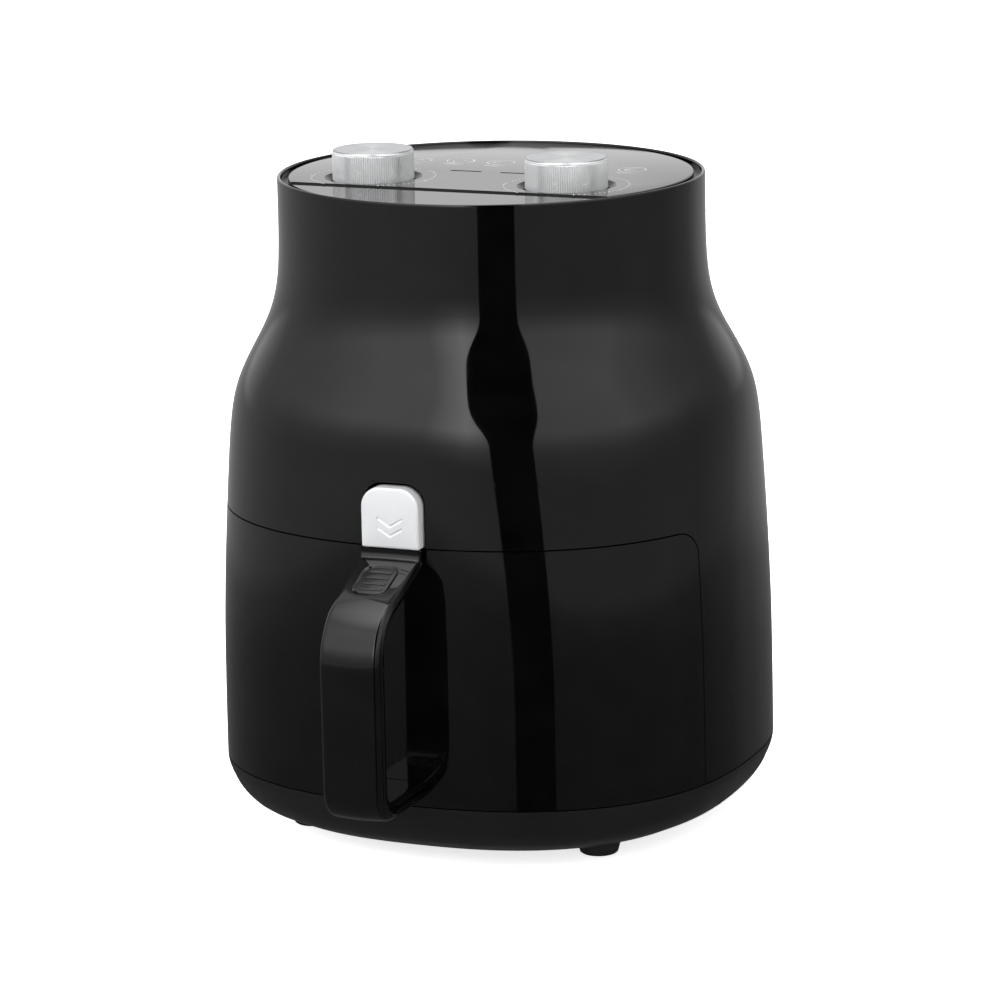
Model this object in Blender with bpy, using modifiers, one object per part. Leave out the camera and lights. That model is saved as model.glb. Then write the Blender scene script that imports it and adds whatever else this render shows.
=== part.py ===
"""Countertop hot-air fryer: a waisted round body, a pull-out drawer with pan and basket, a loop handle
with a release button, two control knobs, and the heater, fan and motor inside its head.

Run with: blender --background --python part.py

The model is built about the body's own axis, with heights counted from the underside of the base.
An empty then lifts it by the height of the feet and centres its footprint, so that the finished
object stands on z = 0 with its bounding box centred on the origin. The front faces -Y.
"""

import math

import bmesh
import bpy
from mathutils import Matrix, Vector

# ---------------------------------------------------------------------------
# Driving sizes, in metres unless a comment says otherwise
# ---------------------------------------------------------------------------
BODY_HEIGHT = 0.319          # underside of the base to the rim
BELLY_WIDTH = 0.270          # across the body at the base seam
SHOULDER_WIDTH = 0.265       # across the body where the shoulder starts
NECK_WIDTH = 0.2148          # across the rim
DEPTH_SHARE = 0.9744         # the body's depth over its width
SQUARENESS_LOW = 2.44        # superellipse power of the section near the base
SQUARENESS_HIGH = 2.07       # and near the rim, where it is almost round
HEAD_HEIGHT = 0.1632         # the drawer's top seam up to the rim
NECK_LENGTH = 0.0255         # straight part below the rim
SHOULDER_LENGTH = 0.1085     # height over which the shoulder draws in
SHOULDER_CURVE = ((0, 0), (0.235, 0.076), (0.415, 0.39), (0.59, 0.79), (0.765, 0.96), (1, 1))
SHOULDER_RINGS = (0.14, 0.26, 0.36, 0.46, 0.56, 0.66, 0.8, 1)  # where the shell has an edge round it
SQUARE_BELOW = 0.245         # share of the height up to which the section keeps its low power
ROUND_ABOVE = 0.981          # and from which it keeps its high power
BASE_HEIGHT = 0.0263
BASE_TUCK = 0.022            # how far the base draws in at its underside
BASE_CURVE = ((0, 1), (0.24, 0.46), (0.6, 0.145), (1, 0))  # (share of its height, share of the tuck)
WALL = 0.0022                # moulded covers
SHEET = 0.0012               # pressed steel
SIDES = 40                   # facets round the body

GAP = 0.0003                 # between pieces that touch
SEAM = 0.0006                # visible joints between covers
RUN = 0.0004                 # round a shaft or a stem

FOOT_HEIGHT = 0.009
FOOT_RADIUS = 0.012
FOOT_X = 0.078
FOOT_Y = 0.064
BASE_SCREW_RADIUS = 0.002
BASE_SCREW_INSET = 0.019     # from the foot's centre towards the body's axis, along Y
VENT_PITCH = 0.0084
VENT_WIDTH = 0.0042
VENT_TOP = 0.0107
VENT_FIRST_Y = -0.021
VENT_COUNT = 9
VENT_REACH = 0.008           # how far inside the base's foot the slots start

DRAWER_EDGE_Y = -0.050       # the drawer front is the part of the skin ahead of this plane
DRAWER_CORNER = 0.013
DRAWER_WALL = 0.0030
FRONT_FLANGE = 0.006         # return flange along the drawer front's top edge
STRAP_NOTCH_AHEAD = 0.010    # notch in that edge for the handle's strap, ahead of the skin
STRAP_NOTCH_BEHIND = 0.030   # and behind it

INSULATION = 0.0215          # air space between the body's cover and the cooking chamber
VESSEL_SQUARENESS = 3.2      # superellipse power of the pan, the basket and the chamber's rear
CHAMBER_FRONT_SQUARENESS = 40  # the chamber's sides run straight towards its mouth
CHAMBER_FRONT_Y = -0.060     # the chamber's straight side walls end here
DECK_FRONT_Y = -0.106
CHAMBER_LIFT = 0.0047        # the chamber's underside above the base seam
CHAMBER_HEADROOM = 0.0022    # the chamber's top above the drawer's top seam
PAN_CLEARANCE = 0.0030
PAN_TAPER = 0.0055
PAN_FRONT_Y = -0.112
PAN_RIM_DROP = 0.0138        # the pan's rim below the drawer's top seam
RUNNER_HEIGHT = 0.0025
RUNNER_WIDTH = 0.008
RUNNER_X = 0.070
RUNNER_FRONT_GAP = 0.006     # from the chamber's mouth
RUNNER_REAR_GAP = 0.015      # from the chamber's rear wall
PAN_ROUND = 0.006            # rounding where the pan's wall meets its floor
BASKET_CLEARANCE = 0.0025
BASKET_ROUND = 0.002
BASKET_TAPER = 0.0060
BASKET_STANDOFF = 0.0085
BASKET_LIP = 0.0035          # how far the lip that hangs on the pan's rim turns outwards
BASKET_SLOT_ROWS = 5         # slots in its floor, on each side of the middle one
BASKET_SLOT_WIDTH = 0.006
BASKET_SLOT_SIDE = 0.040     # from the rim's side to the longest slot's end
BASKET_SLOT_END = 0.030      # from the rim's front or back to the last slot

DOME_RADIUS = 0.094
DOME_HEIGHT = 0.0290
DOME_FLANGE = 0.010
DOME_CORNER = 0.008
ELEMENT_STEPS = 22
ELEMENT_RADIUS = 0.078
ELEMENT_TUBE = 0.0032
ELEMENT_LIFT = 0.0045
ELEMENT_TERMINAL_X = 0.008
ELEMENT_TERMINAL_RISE = 0.012  # the element's ends above the reflector
GUARD_WIRE = 0.0015
GUARD_RINGS = (0.33, 0.66)   # inner rings, as shares of the outer one's radius
GUARD_SPOKES = 4
GUARD_TURN = 0.35            # the first spoke from the X axis, in spoke pitches
SHAFT_RADIUS = 0.0030
HOT_FAN_RADIUS = 0.062
HOT_FAN_HEIGHT = 0.012
COOL_FAN_RADIUS = 0.048
COOL_FAN_HEIGHT = 0.010
FAN_BLADES = 8
HUB_RADIUS = 0.008
HOT_FAN_ROOM = 0.0035         # under the reflector
COOL_FAN_ROOM = 0.005        # over the reflector
NUT_RADIUS = 0.0055
NUT_HEIGHT = 0.004
SHAFT_BELOW_NUT = 0.0015
SHAFT_SINK = 0.004           # the shaft's end below the motor's top
MOTOR_RADIUS = 0.030
MOTOR_HEIGHT = 0.031
BRACKET_RADIUS = 0.062
BRACKET_RISE = 0.023
BRACKET_LEGS = 4
LEG_RADIUS = 0.0035
LEG_INSET = 0.005            # the legs' axes from the plate's edge

LEDGE_WIDTH = 0.006
PANEL_THICKNESS = 0.003
PANEL_SINK = 0.0005          # the panel's face below the rim
PANEL_MARGIN = 0.0034        # open groove between the rim's wall and the panel
FRAME_THICKNESS = 0.003
KNOB_INSET = 0.0556          # a knob's axis from the rim's side
KNOB_Y = -0.0278
KNOB_RADIUS = 0.0204
KNOB_RISE = 0.0136           # the knob's face above the rim
KNOB_CHAMFER = 0.0012
POCKET_RADIUS = 0.0246
POCKET_FLARE = 0.0026
STEM_RADIUS = 0.0055
KNOB_LIFT = 0.0005           # the knob's underside above the panel's frame
KNOB_FACE = 0.006            # solid metal over the end of the knob's shaft
SHAFT_INSERT = 0.018         # how deep a knob's shaft goes into its mechanism
MECHANISM_CORNER = 0.003
TIMER_SIZE = 0.046
TIMER_HEIGHT = 0.034
BELL_RADIUS = 0.019
BELL_DEPTH = 0.008
BELL_SHOULDER = 0.005        # height of the bell's sloping top
THERMOSTAT_SIZE = 0.038
THERMOSTAT_HEIGHT = 0.024
LENS_LENGTH = 0.016
LENS_WIDTH = 0.002
LENS_X = 0.0135

BUTTON_WIDTH = 0.031
BUTTON_HEIGHT = 0.0303
BUTTON_CORNER = 0.0100
BUTTON_PROUD = 0.0050        # the button's face ahead of the body's skin
BUTTON_DEPTH = 0.0080
BUTTON_TRAVEL = 0.0030
BUTTON_STEM_RADIUS = 0.0022
NOTCH_CLEARANCE = 0.0010
NOTCH_BELOW = 0.012          # how far the notch's cutter runs below the seam
BUTTON_FOOT_CORNER = 0.0008
BUTTON_EDGE = 0.0009
HOUSING_DEPTH = 0.0104
HOUSING_MARGIN = 0.0015      # the button's housing is this much smaller all round
HOUSING_EDGE = 0.0010
STEM_SINK = 0.0015           # the stem's end ahead of the housing's back
SPRING_RADIUS = 0.0038
SPRING_WIRE = 0.0004
SPRING_TURNS = 4
SPRING_POCKET_DEPTH = 0.0064
SPRING_STEPS = 9             # straight pieces in a turn

HANDLE_REACH = 0.1875        # the grip's front face from the body's axis
HANDLE_SLOPE = math.radians(22)
HANDLE_STRIP = 0.0037        # upright strip between the button and the sloping arm
STRIP_BEND = 0.003           # radius where that strip meets the arm
ARM_THICKNESS = 0.009
GRIP_THICKNESS = 0.0125
LEG_THICKNESS = 0.0085
LEG_UNDERSIDE = 0.031
GRIP_BEND = 0.033            # outer radius where the arm turns down into the grip
LEG_BEND = 0.016
HANDLE_PARTING = 0.57        # share of the thickness that the outer shell takes
HANDLE_EDGE = 0.0018
PAD_LENGTH = 0.024
PAD_WIDTH = 0.019
PAD_DEPTH = 0.0012
PAD_START = 0.005            # from the strip down the arm's slope
PAD_RIBS = 4
RIB_WIDTH = 0.0016
RIB_HEIGHT = 0.0004
RIB_SPREAD = 0.85            # share of the pad's length over which the ribs lie
RIB_REACH = 0.76             # share of the pad's width that a rib spans
BRACKET_SHEET = 0.0020
STRAP_DROP = 0.0056          # the handle strap's foot below the seam
STRAP_STEP = 0.0008          # its level arm above that foot
HANDLE_ROOM = 0.0009         # from the drawer's skin to the back of the handle
LEG_ROOM = 0.0002            # more than a gap behind the handle's leg
PAN_BRACKET_WIDTH = 0.040
PAN_BRACKET_LOW = 0.35       # its edges, as shares of the pan's height
PAN_BRACKET_HIGH = 0.72
HANDLE_SCREW_RADIUS = 0.0028
HANDLE_SCREW_LENGTH = 0.0085
HANDLE_SCREW_SINK = 0.0010
HANDLE_SCREWS = (("lower", 0.22), ("upper", 0.72))  # share of the grip's height

GRILLE_WIDTH = 0.070
GRILLE_HEIGHT = 0.048
GRILLE_LIFT = 0.0092         # the grille's middle above the drawer's top seam
GRILLE_SLOTS = 7
GLAND_Z = 0.060
GLAND_RADIUS = 0.0080
GLAND_PROUD = 0.0025
GLAND_FLANGE = 1.4           # the flange's radius over the gland's
GLAND_THROAT = 0.45          # and the bore's
REAR_REACH = 0.05            # cutters for the rear start this far behind the axis
SWITCH_SIZE = (0.020, 0.007, 0.010)
SWITCH_EDGE = 0.0008
OVER = 0.004                 # how far a cutter runs past what it cuts

# ---------------------------------------------------------------------------
# Heights and faces that follow from the driving sizes
# ---------------------------------------------------------------------------
RIM_Z = BODY_HEIGHT
SEAM_Z = BODY_HEIGHT - HEAD_HEIGHT           # the drawer's top seam
GRILLE_Z = SEAM_Z + GRILLE_LIFT
CHAMBER_FLOOR = BASE_HEIGHT + CHAMBER_LIFT   # underside of the chamber's floor
CHAMBER_TOP = SEAM_Z + CHAMBER_HEADROOM
RUNNER_Z = CHAMBER_FLOOR + SHEET + GAP
PAN_BOTTOM = RUNNER_Z + RUNNER_HEIGHT + GAP
PAN_RIM = SEAM_Z - PAN_RIM_DROP
BASKET_BOTTOM = PAN_BOTTOM + SHEET + BASKET_STANDOFF
BASKET_RIM = PAN_RIM + GAP + SHEET
DECK_Z = CHAMBER_TOP + GAP                   # plate that closes the chamber round the dome
DOME_Z = DECK_Z + SHEET + GAP
DOME_TOP = DOME_Z + DOME_HEIGHT
BRACKET_Z = DOME_TOP + BRACKET_RISE          # underside of the motor's plate
MOTOR_Z = BRACKET_Z + BRACKET_SHEET + GAP
PANEL_TOP = RIM_Z - PANEL_SINK
PANEL_BOTTOM = PANEL_TOP - PANEL_THICKNESS
KNOB_X = NECK_WIDTH / 2 - KNOB_INSET
FRAME_TOP = PANEL_BOTTOM - GAP
FRAME_BOTTOM = FRAME_TOP - FRAME_THICKNESS
LEDGE_TOP = FRAME_BOTTOM - GAP
BUTTON_BOTTOM = SEAM_Z
BUTTON_TOP = BUTTON_BOTTOM + BUTTON_HEIGHT
BUTTON_MIDDLE = (BUTTON_BOTTOM + BUTTON_TOP) / 2
STRIP_TOP = BUTTON_BOTTOM - RUN
FAN_BOTTOM = DOME_TOP - SHEET - HOT_FAN_ROOM - HOT_FAN_HEIGHT
NUT_TOP = FAN_BOTTOM - GAP
FAN_SHAFT_TOP = MOTOR_Z + MOTOR_HEIGHT - SHAFT_SINK
KNOB_BOTTOM = FRAME_TOP + KNOB_LIFT - RIM_Z  # the next three are counted from the rim
SHAFT_TOP = KNOB_RISE - KNOB_FACE
SHAFT_BOTTOM = FRAME_BOTTOM - GAP - SHAFT_INSERT - RIM_Z
SHOULDER_START = BODY_HEIGHT - NECK_LENGTH - SHOULDER_LENGTH
STRAP_TAB_TOP = SEAM_Z - 2 * RUN
STRAP_LOW = SEAM_Z - STRAP_DROP
STRAP_ARM = STRAP_LOW + STRAP_STEP           # underside of the strap's level arm
STRAP_HALF = BUTTON_WIDTH / 2 - HOUSING_MARGIN


def smooth_step(t):
    t = min(max(t, 0.0), 1.0)
    return t * t * (3 - 2 * t)


def side_outline():
    """(height, half width) stations of the body's side, from its underside to the rim."""
    belly, shoulder, neck = BELLY_WIDTH / 2, SHOULDER_WIDTH / 2, NECK_WIDTH / 2
    stations = [(BASE_HEIGHT * t, belly - BASE_TUCK * s) for t, s in BASE_CURVE]
    for t, s in SHOULDER_CURVE:
        stations.append((SHOULDER_START + SHOULDER_LENGTH * t, shoulder - (shoulder - neck) * s))
    return stations + [(BODY_HEIGHT, neck)]


def half_width(z):
    """The side outline at a height, as a cubic through the stations that never overshoots them."""
    stations = side_outline()
    steps = [(b[1] - a[1]) / (b[0] - a[0]) for a, b in zip(stations, stations[1:])]
    slopes = [steps[0]]
    for left, right in zip(steps, steps[1:]):
        slopes.append(0 if left * right <= 0 else 2 * left * right / (left + right))
    slopes.append(steps[-1])
    z = min(max(z, 0.0), BODY_HEIGHT)
    i = max(k for k in range(len(steps)) if stations[k][0] <= z)
    (z0, w0), (z1, w1) = stations[i], stations[i + 1]
    span = z1 - z0
    t = (z - z0) / span
    ease = smooth_step(t)
    bend = t * (1 - t) ** 2 * slopes[i] - t * t * (1 - t) * slopes[i + 1]
    return w0 + (w1 - w0) * ease + span * bend


def squareness(z):
    """Superellipse power of the section at a height."""
    t = (z / BODY_HEIGHT - SQUARE_BELOW) / (ROUND_ABOVE - SQUARE_BELOW)
    return SQUARENESS_LOW + (SQUARENESS_HIGH - SQUARENESS_LOW) * smooth_step(t)


def superellipse(power, angle):
    """Point of a unit superellipse; the angle runs from the front, -Y, towards +X."""
    s, c = math.sin(angle), math.cos(angle)
    reach = (abs(s) ** power + abs(c) ** power) ** (-1 / power)
    return reach * s, -reach * c


def skin_front(z, inset=0.0, x=0.0):
    """Y of the front of the skin, on the centre line or beside it."""
    reach, power = half_width(z) - inset, squareness(z)
    return -(1 - (abs(x) / reach) ** power) ** (1 / power) * reach * DEPTH_SHARE


def body_ring(z, inset=0.0, lift=None):
    """A ring on the body's skin, or inset from it; lift moves it to another height."""
    reach = half_width(z) - inset
    ring = []
    for k in range(SIDES):
        x, y = superellipse(squareness(z), 2 * math.pi * k / SIDES)
        ring.append((reach * x, reach * y * DEPTH_SHARE, z if lift is None else lift))
    return ring


def vessel_ring(half_x, half_y, centre_y, z, front_power=VESSEL_SQUARENESS):
    """A ring of a rounded-square vessel; its front half can be squarer than its rear."""
    ring = []
    for k in range(SIDES):
        angle = 2 * math.pi * k / SIDES
        x, y = superellipse(front_power if math.cos(angle) > 0 else VESSEL_SQUARENESS, angle)
        ring.append((half_x * x, centre_y + half_y * y, z))
    return ring


CHAMBER_HALF = half_width(SEAM_Z) - WALL - INSULATION  # of its outside, both across and deep
PAN_HALF = CHAMBER_HALF - SHEET - PAN_CLEARANCE        # of its rim
PAN_DEEP = (PAN_HALF - PAN_FRONT_Y) / 2
PAN_MIDDLE = (PAN_HALF + PAN_FRONT_Y) / 2
BUTTON_FACE = skin_front(BUTTON_MIDDLE) - BUTTON_PROUD
ARM_FOOT_Z = STRIP_TOP - HANDLE_STRIP - ARM_THICKNESS / math.cos(HANDLE_SLOPE)
HANDLE_BACK = min(skin_front(SEAM_Z), skin_front(ARM_FOOT_Z)) - GAP - HANDLE_ROOM

# ---------------------------------------------------------------------------
# Scene, materials and small modelling helpers
# ---------------------------------------------------------------------------
for old in list(bpy.data.objects):
    bpy.data.objects.remove(old, do_unlink=True)

PARTS = bpy.data.collections.new("hot_air_fryer")
CUTTERS = bpy.data.collections.new("cutters")
CUTTERS.hide_render = True
for made in (PARTS, CUTTERS):
    bpy.context.scene.collection.children.link(made)


def material(name, colour, roughness, metallic=0.0):
    made = bpy.data.materials.new(name)
    made.use_nodes = True
    shader = made.node_tree.nodes["Principled BSDF"]
    shader.inputs["Base Color"].default_value = (*colour, 1)
    shader.inputs["Roughness"].default_value = roughness
    shader.inputs["Metallic"].default_value = metallic
    made.diffuse_color = (*colour, 1)
    return made


GLOSS_BLACK = material("gloss_black_abs", (0.012, 0.012, 0.013), 0.12)
SATIN_BLACK = material("satin_black_pp", (0.015, 0.015, 0.016), 0.38)
PANEL_BLACK = material("printed_panel", (0.02, 0.02, 0.021), 0.06)
SILVER = material("satin_silver_plating", (0.82, 0.82, 0.83), 0.22, 1.0)
SPUN_METAL = material("spun_aluminium", (0.80, 0.80, 0.81), 0.25, 1.0)
RUBBER = material("foot_rubber", (0.02, 0.02, 0.02), 0.8)
GALVANISED = material("galvanised_sheet", (0.55, 0.56, 0.57), 0.4, 1.0)
NON_STICK = material("non_stick_coating", (0.03, 0.03, 0.032), 0.45)
STEEL = material("bright_steel", (0.6, 0.6, 0.61), 0.3, 1.0)
HEATER_STEEL = material("heater_sheath", (0.25, 0.23, 0.22), 0.5, 1.0)
LENS = material("lens_acrylic", (0.6, 0.08, 0.05), 0.1)


def empty(name, location, parent=None):
    made = bpy.data.objects.new(name, None)
    made.location = location
    made.parent = parent
    PARTS.objects.link(made)
    return made


GLAND_BACK = (half_width(GLAND_Z) * DEPTH_SHARE) + GLAND_PROUD
BODY_BACK = max(GLAND_BACK, half_width(BASE_HEIGHT) * DEPTH_SHARE)
AXIS_Y = (HANDLE_REACH - BODY_BACK) / 2      # puts the middle of the footprint on the origin
HOUSING = empty("housing", (0, AXIS_Y, FOOT_HEIGHT))
DRAWER = empty("drawer", (0, 0, 0), HOUSING)
RELEASE = empty("release", (0, 0, BUTTON_MIDDLE), DRAWER)
FAN = empty("fan_axis", (0, 0, DOME_TOP), HOUSING)
TIMER_AXIS = empty("timer_axis", (-KNOB_X, KNOB_Y, RIM_Z), HOUSING)
HEAT_AXIS = empty("thermostat_axis", (KNOB_X, KNOB_Y, RIM_Z), HOUSING)


def from_bmesh(name, shape, parent, look, cutter=False):
    mesh = bpy.data.meshes.new(name)
    bmesh.ops.recalc_face_normals(shape, faces=shape.faces)
    shape.to_mesh(mesh)
    shape.free()
    made = bpy.data.objects.new(name, mesh)
    made.parent = parent
    if cutter:
        CUTTERS.objects.link(made)
        made.hide_render = True
        made.display_type = "WIRE"
        return made
    PARTS.objects.link(made)
    mesh.materials.append(look)
    mesh.shade_smooth()
    mesh.set_sharp_from_angle(angle=math.radians(35))
    return made


def loft(name, rings, parent=HOUSING, look=None, closed=False, cutter=False):
    """A skin over rings of equal count: closed joins the last ring to the first, otherwise both ends
    are capped."""
    shape = bmesh.new()
    rows = [[shape.verts.new(point) for point in ring] for ring in rings]
    pairs = list(zip(rows, rows[1:]))
    if closed:
        pairs.append((rows[-1], rows[0]))
    for low, high in pairs:
        for k in range(len(low)):
            n = (k + 1) % len(low)
            shape.faces.new((low[k], low[n], high[n], high[k]))
    if not closed:
        shape.faces.new(rows[0])
        shape.faces.new(rows[-1])
    return from_bmesh(name, shape, parent, look, cutter)


def box(name, low, high, parent=HOUSING, look=None, cutter=False, bevel=0.0, tilt=None):
    """A box between two corners; tilt turns it about its own centre, round X."""
    low, high = Vector(low), Vector(high)
    shape = bmesh.new()
    bmesh.ops.create_cube(shape, size=1)
    bmesh.ops.scale(shape, vec=high - low, verts=shape.verts)
    if tilt is not None:
        bmesh.ops.rotate(shape, matrix=Matrix.Rotation(tilt, 3, "X"), verts=shape.verts)
    bmesh.ops.translate(shape, vec=(low + high) / 2, verts=shape.verts)
    made = from_bmesh(name, shape, parent, look, cutter)
    if bevel:
        soften(made, bevel)
    return made


def soften(obj, width, segments=1):
    edge = obj.modifiers.new("edges", "BEVEL")
    edge.width = width
    edge.segments = segments
    edge.limit_method = "ANGLE"
    edge.angle_limit = math.radians(50)
    edge.use_clamp_overlap = True


def rod(name, radius, start, end, parent=HOUSING, look=None, cutter=False, sides=20, end_radius=None):
    """A cylinder, or a cone with another radius at its end, from one point to another."""
    start, end = Vector(start), Vector(end)
    shape = bmesh.new()
    bmesh.ops.create_cone(
        shape, cap_ends=True, segments=sides, radius1=radius,
        radius2=radius if end_radius is None else end_radius, depth=(end - start).length,
    )
    turn = Vector((0, 0, 1)).rotation_difference(end - start).to_matrix()
    bmesh.ops.rotate(shape, matrix=turn, verts=shape.verts)
    bmesh.ops.translate(shape, vec=(start + end) / 2, verts=shape.verts)
    return from_bmesh(name, shape, parent, look, cutter)


def turned(name, profile, parent, look, steps=36, place=(0, 0, 0), cutter=False):
    """A profile of (radius, height) points, top to bottom down its outer side, turned about Z."""
    mesh = bpy.data.meshes.new(name)
    points = [(r, 0, z) for r, z in profile]
    ends_on_axis = profile[0][0] == 0 and profile[-1][0] == 0
    edges = [(k, k + 1) for k in range(len(points) - 1)]
    if not ends_on_axis:
        edges.append((len(points) - 1, 0))
    mesh.from_pydata(points, edges, [])
    made = bpy.data.objects.new(name, mesh)
    made.parent = parent
    made.location = place
    spin = made.modifiers.new("turn", "SCREW")
    spin.steps = steps
    spin.render_steps = steps
    spin.use_merge_vertices = True
    spin.merge_threshold = 0.0001
    spin.use_smooth_shade = True
    if cutter:
        CUTTERS.objects.link(made)
        made.hide_render = True
        made.display_type = "WIRE"
        return made
    PARTS.objects.link(made)
    mesh.materials.append(look)
    return made


def prism(name, outline, width, parent=HOUSING, look=None, cutter=False, across="X", centre=0.0):
    """A flat outline given thickness: (y, z) points across X, or (x, z) points across Y."""
    shape = bmesh.new()
    near = centre - width / 2
    if across == "X":
        way, points = Vector((1, 0, 0)), [(near, u, v) for u, v in outline]
    else:
        way, points = Vector((0, 1, 0)), [(u, near, v) for u, v in outline]
    face = shape.faces.new([shape.verts.new(point) for point in points])
    grown = bmesh.ops.extrude_face_region(shape, geom=[face])
    moved = [item for item in grown["geom"] if isinstance(item, bmesh.types.BMVert)]
    bmesh.ops.translate(shape, vec=way * width, verts=moved)
    return from_bmesh(name, shape, parent, look, cutter)


def rounded(corners, pieces=5):
    """An outline through (u, v, radius) corners, each turned into an arc of its radius."""
    outline = []
    for k, (u, v, radius) in enumerate(corners):
        here = Vector((u, v))
        if not radius:
            outline.append(tuple(here))
            continue
        back = (Vector(corners[k - 1][:2]) - here).normalized()
        ahead = (Vector(corners[(k + 1) % len(corners)][:2]) - here).normalized()
        half = back.angle(ahead) / 2
        centre = here + (back + ahead).normalized() * (radius / math.sin(half))
        start = here + back * (radius / math.tan(half)) - centre
        end = here + ahead * (radius / math.tan(half)) - centre
        sweep = math.atan2(start.x * end.y - start.y * end.x, start.dot(end))
        for i in range(pieces + 1):
            turn = Matrix.Rotation(sweep * i / pieces, 2)
            outline.append(tuple(centre + turn @ start))
    return outline


def combine(obj, other, operation):
    step = obj.modifiers.new(operation.lower() + "_" + other.name, "BOOLEAN")
    step.operation = operation
    step.solver = "EXACT"
    step.object = other


def cut(obj, *cutters):
    for cutter in cutters:
        combine(obj, cutter, "DIFFERENCE")


def join(obj, *helpers):
    for helper in helpers:
        combine(obj, helper, "UNION")


def joined_mesh(name, cutters):
    """Several cutters that don't touch each other as one, so that one Boolean makes all their cuts."""
    merged = bmesh.new()
    for cutter in cutters:
        merged.from_mesh(cutter.data)
        bpy.data.objects.remove(cutter, do_unlink=True)
    return from_bmesh(name, merged, HOUSING, None, cutter=True)


def wire(name, points, radius, parent, look, closed=False):
    """A round wire through points, as a mesh with its caps welded."""
    curve = bpy.data.curves.new(name, "CURVE")
    curve.dimensions = "3D"
    curve.bevel_depth = radius
    curve.bevel_resolution = 1
    curve.use_fill_caps = True
    line = curve.splines.new("POLY")
    line.points.add(len(points) - 1)
    for point, place in zip(line.points, points):
        point.co = (*place, 1)
    line.use_cyclic_u = closed
    guide = bpy.data.objects.new(name + "_path", curve)
    PARTS.objects.link(guide)
    bpy.context.view_layer.update()
    tube = bpy.data.meshes.new_from_object(guide.evaluated_get(bpy.context.evaluated_depsgraph_get()))
    bpy.data.objects.remove(guide, do_unlink=True)
    shape = bmesh.new()
    shape.from_mesh(tube)
    bmesh.ops.remove_doubles(shape, verts=shape.verts, dist=0.00001)
    return from_bmesh(name, shape, parent, look)


# ---------------------------------------------------------------------------
# Covers: body, base, feet
# ---------------------------------------------------------------------------
def drawer_outline(inset, bottom):
    """Side view of the drawer front's field: everything ahead of its edge, below its top seam."""
    far = -2 * BELLY_WIDTH
    edge, top = DRAWER_EDGE_Y - inset, SEAM_Z - inset
    return rounded([(far, bottom, 0), (edge, bottom, 0), (edge, top, DRAWER_CORNER), (far, top, 0)])


def notch_outline(margin):
    """Front view of the release button's field."""
    side, corner = BUTTON_WIDTH / 2 + margin, BUTTON_CORNER + margin
    low, high = SEAM_Z - NOTCH_BELOW, BUTTON_TOP + margin
    return rounded([(-side, low, 0), (side, low, 0), (side, high, corner), (-side, high, corner)])


def make_body_shell():
    bottom = BASE_HEIGHT + GAP
    levels = [bottom, (bottom + SHOULDER_START) / 2, SHOULDER_START]
    levels += [SHOULDER_START + SHOULDER_LENGTH * t for t in SHOULDER_RINGS]
    outer = [body_ring(z) for z in levels + [RIM_Z - WALL / 3]]
    rim = [body_ring(RIM_Z, WALL / 3), body_ring(RIM_Z, WALL)]
    ledge = [body_ring(LEDGE_TOP, WALL), body_ring(LEDGE_TOP, WALL + LEDGE_WIDTH),
             body_ring(LEDGE_TOP - WALL, WALL + LEDGE_WIDTH), body_ring(LEDGE_TOP - 2 * WALL, WALL)]
    inner = [body_ring(z, WALL) for z in reversed(levels[:-1])]
    shell = loft("body_shell", outer + rim + ledge + inner, look=GLOSS_BLACK, closed=True)
    notch = prism("button_notch", notch_outline(NOTCH_CLEARANCE), BELLY_WIDTH / 2, cutter=True, across="Y",
                  centre=-BELLY_WIDTH / 2)
    half = GRILLE_WIDTH / 2 + SEAM
    window = box("grille_window", (-half, REAR_REACH, GRILLE_Z - GRILLE_HEIGHT / 2 - SEAM),
                 (half, BELLY_WIDTH, GRILLE_Z + GRILLE_HEIGHT / 2 + SEAM), cutter=True)
    cord = rod("gland_hole", GLAND_RADIUS + GAP, (0, REAR_REACH, GLAND_Z), (0, BELLY_WIDTH, GLAND_Z),
               cutter=True)
    opening = prism("drawer_opening", drawer_outline(0, bottom - OVER), 2 * BELLY_WIDTH, cutter=True)
    cut(shell, notch, opening, window, cord)


def foot_places():
    for end, y in (("front", -FOOT_Y), ("rear", FOOT_Y)):
        for side, x in (("left", -FOOT_X), ("right", FOOT_X)):
            yield end + "_" + side, x, y


def screw_place(x, y):
    """The base's screws stand beside the feet, nearer the body's axis."""
    return x, y - math.copysign(BASE_SCREW_INSET, y)


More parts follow.
